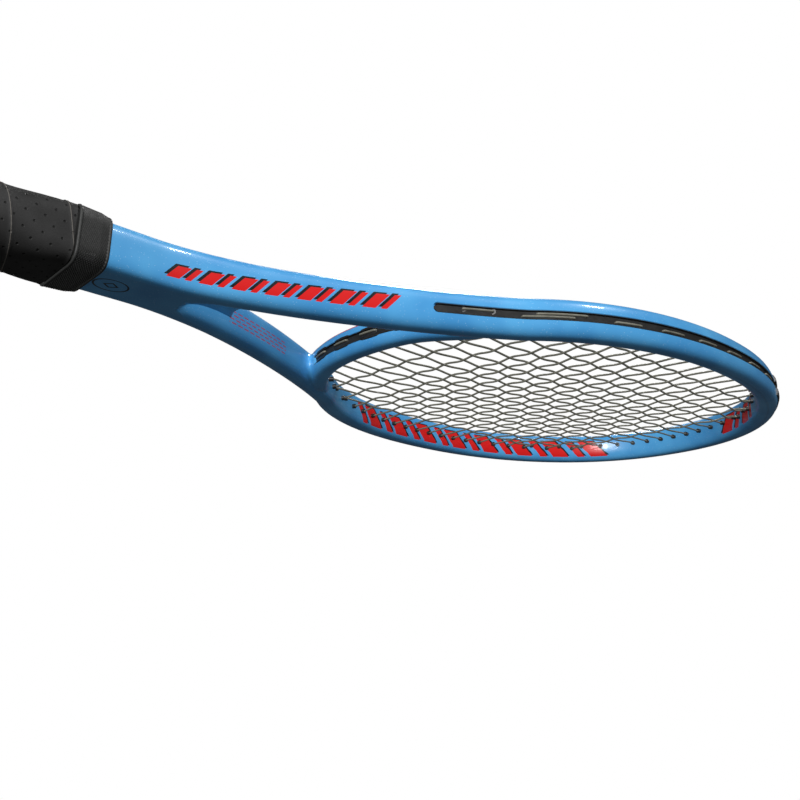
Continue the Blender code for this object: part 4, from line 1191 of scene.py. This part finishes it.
RIBS_ROUND = 76
RIB_PITCH = 0.0011
RIB_HEIGHT = 0.00028
COLLAR_REAR = 0.1437
COLLAR_FRONT = 0.1590
COLLAR_STEP_X = 0.1540
COLLAR_STEP_LENGTH = 0.0050
COLLAR_ROWS = 96
COLLAR_COLUMNS = 704
RIM_LENGTH = 0.0011
RIM_EASE = 0.0004
ROLL_MIDDLE = 0.0007
ROLL_HALF = 0.00075
ROLL_HEIGHT = 0.00062


def collar_ring(t, inset, cut, round_by):
    """The collar's x and its outline and normals at a share of its length."""
    x = COLLAR_REAR + (COLLAR_FRONT - COLLAR_REAR) * t
    step = float(np.clip((x - COLLAR_STEP_X) / COLLAR_STEP_LENGTH, 0, 1))
    low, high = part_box("rubber_collar")
    rear = np.array([high.y - 0.0011, (high.z - low.z) / 2 - 0.0007])
    front = np.array([SHAFT_HALF_WIDTH + 0.0013, SHAFT_HALF_HEIGHT + 0.0014])
    size = rear + (front - rear) * (step * 0.55 + 0.45 * t) - inset
    return x, *facet_ring(*size, cut, round_by, COLLAR_COLUMNS)


def knitted(x, q):
    """Height of the ribs round the collar: slanted, and crossed by a second set below."""
    rib = np.sin(2 * math.pi * (x / RIB_PITCH - RIBS_ROUND * q))
    cross = np.sin(2 * math.pi * (x / RIB_PITCH + RIBS_ROUND * q))
    lower = smoothstep((q - 0.30) / 0.10) * smoothstep((0.95 - q) / 0.10)
    return rib + cross * lower * 0.8


def collar_mesh():
    """Tapered rubber sleeve with rolled rims and fine ribs, and readings for its colour, one of them
    painted shade in the valleys between the ribs.
    """
    q = np.arange(COLLAR_COLUMNS) / COLLAR_COLUMNS
    rings, rims, valley_shades = [], [], []
    for t in np.linspace(0, 1, COLLAR_ROWS):
        x, ring, normal = collar_ring(t, 0.0, 0.27, 0.0046)
        edge = min(x - COLLAR_REAR, COLLAR_FRONT - x)
        rim = float(1 - smoothstep((edge - RIM_LENGTH) / RIM_EASE))
        roll = math.sqrt(max(0.0, 1 - ((edge - ROLL_MIDDLE) / ROLL_HALF) ** 2))
        knit = knitted(x, q)
        lift = rim * (roll * ROLL_HEIGHT - 0.00015) + (1 - rim) * RIB_HEIGHT * knit
        rings.append(np.insert(ring + normal * lift[:, None], 0, x, axis=1))
        rims.append(np.full(COLLAR_COLUMNS, rim))
        # painted shade reading: highest where the ribs sink lowest, none on the rims
        valley_shades.append((1 - rim) * (0.5 - 0.35 * knit))
    for t in (1.0, 0.65, 0.0):
        x, ring, _ = collar_ring(t, 0.0007, 0.25, 0.0040)
        rings.append(np.insert(ring, 0, x, axis=1))
        rims.append(np.zeros(COLLAR_COLUMNS))
        valley_shades.append(np.zeros(COLLAR_COLUMNS))
    mesh = skin("collar", np.array(rings), sharp=70, wrap_rows=True)
    edges = np.zeros((len(rings), COLLAR_COLUMNS))
    edges[COLLAR_ROWS - 2:COLLAR_ROWS + 1] = 1.0
    for name, values in (("rim", rims), ("valley_shade", valley_shades), ("edge", edges)):
        add_reading(mesh, name, np.array(values).reshape(-1))
    return mesh


# ======== studio

FLOOR_Z = -0.75
FLOOR_RADIUS = 3.2
ROOM_BELOW = 0.12
ROOM_ABOVE = 0.34
ROOM_IN_GLOSS = 0.25
ROOM_COLOUR = (0.8, 0.8, 0.8, 1)
FLOOR_SIDES = 96
KEY_WAY = (-0.75, -0.52, 0.24)
RIM_WAY = (0.52, 0.33, 0.79)
GLEAM_WAY = (0.24, -0.655, 0.71)


def make_stage():
    """A wide white floor that catches shadows and is left out of the light on the racket."""
    angle = np.arange(FLOOR_SIDES) * 2 * math.pi / FLOOR_SIDES
    points = [(FLOOR_RADIUS * math.cos(a), FLOOR_RADIUS * math.sin(a), FLOOR_Z) for a in angle]
    mesh = bpy.data.meshes.new("floor")
    mesh.from_pydata(points, [], [tuple(range(FLOOR_SIDES))])
    floor = bpy.data.objects.new("floor", mesh)
    bpy.context.scene.collection.objects.link(floor)
    n = Nodes("floor_white")
    mesh.materials.append(n.finish(Base_Color=(0.95, 0.95, 0.95, 1), Roughness=0.9))
    floor.visible_diffuse = False
    floor.visible_glossy = False


def make_world():
    """White to the camera; for lighting, a dim room that is brighter above."""
    n = Nodes("studio", world=True)
    up = n.new("SeparateXYZ")
    n.link(n.new("TexCoord").outputs["Generated"], up.inputs[0])
    path = n.new("LightPath").outputs
    level = n.mul(n.ramp(up.outputs["Z"], -1.0, 1.0, ROOM_BELOW, ROOM_ABOVE),
                  n.ramp(path["Is Glossy Ray"], 0.0, 1.0, 1.0, ROOM_IN_GLOSS))
    seen, mix = n.new("Background"), n.new("MixShader")
    n.link((1, 1, 1, 1), seen.inputs["Color"])
    for value, socket in zip((path["Is Camera Ray"], n.shader.outputs[0], seen.outputs[0]),
                             mix.inputs):
        n.link(value, socket)
    n.link(mix.outputs[0], n.tree.nodes["World Output"].inputs["Surface"])
    bpy.context.scene.world = n.finish(Color=ROOM_COLOUR, Strength=level)


def area_light(name, way, distance, size, watts, shadow=True):
    """A round soft light that shines on the racket from a given way."""
    data = bpy.data.lights.new(name, "AREA")
    data.shape = "DISK"
    data.size = size
    data.energy = watts
    data.use_shadow = shadow
    light = bpy.data.objects.new(name, data)
    bpy.context.scene.collection.objects.link(light)
    light.location = Vector(way).normalized() * distance
    light.rotation_mode = "QUATERNION"
    light.rotation_quaternion = light.location.to_track_quat("Z", "Y")


CAMERA_PLACE = (-0.3095, -0.3046, -0.1383)
CAMERA_AZIMUTH = -40.55
CAMERA_ELEVATION = -21.5
CAMERA_ROLL = 0.34
CAMERA_LENS = 35.64
CAMERA_SHIFT = (0.0948, -0.0902)


def make_camera():
    data = bpy.data.cameras.new("camera")
    data.lens = CAMERA_LENS
    data.sensor_width = 36.0
    data.shift_x, data.shift_y = CAMERA_SHIFT
    data.clip_start = 0.01
    camera = bpy.data.objects.new("camera", data)
    bpy.context.scene.collection.objects.link(camera)
    a, e = math.radians(CAMERA_AZIMUTH), math.radians(CAMERA_ELEVATION)
    back = Vector((math.sin(a) * math.cos(e), -math.cos(a) * math.cos(e), math.sin(e)))
    turn = (-back).to_track_quat("-Z", "Y").to_matrix().to_4x4()
    roll = Matrix.Rotation(math.radians(CAMERA_ROLL), 4, "Z")
    camera.matrix_world = Matrix.Translation(CAMERA_PLACE) @ turn @ roll
    bpy.context.scene.camera = camera


# ======== build

make_camera()
make_world()
make_stage()
area_light("key", KEY_WAY, 3.0, 1.4, 82.0, shadow=False)
area_light("spark", KEY_WAY, 3.0, 0.16, 18.0, shadow=False)
area_light("rim", RIM_WAY, 3.0, 0.50, 30.0)
area_light("gleam", GLEAM_WAY, 3.0, 0.40, 26.0, shadow=False)
bpy.context.scene.view_settings.view_transform = "Standard"

ENDS = string_ends()
NYLON = moulded("black_nylon", (0.010, 0.010, 0.010, 1), (0.017, 0.017, 0.017, 1), 0.42)
CAP_PLASTIC = moulded("cap_plastic", (0.010, 0.010, 0.011, 1), (0.018, 0.018, 0.019, 1), 0.45)
TAPE = moulded("finishing_tape", (0.012, 0.012, 0.013, 1), (0.024, 0.024, 0.026, 1), 0.5, 2500.0)
FOAM = foam_material()
STEEL = steel_material()

add_piece("lacquered_frame", frame_mesh(), "racket", lacquer(), "frame_paint", "frame")
make_strings(ENDS, string_material())
make_hoop_trim(ENDS, NYLON)
make_throat_trim(ENDS, NYLON)
add_piece("wound_grip", grip_mesh(), "racket", grip_material(), "grip", "grip_wrap")
add_piece("ribbed_collar", collar_mesh(), "collar", rubber_material(), "collar_rubber",
          "rubber_collar")

for node, material in (("pallet_upper", FOAM), ("pallet_lower", FOAM), ("handle_foam_plug", FOAM),
                       ("finishing_tape", TAPE), ("butt_cap", CAP_PLASTIC),
                       ("trap_door", CAP_PLASTIC), ("grip_start_staple", STEEL),
                       ("butt_staple_1", STEEL), ("butt_staple_2", STEEL),
                       ("butt_staple_3", STEEL), ("butt_staple_4", STEEL)):
    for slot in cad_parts[node].material_slots:
        slot.material = material
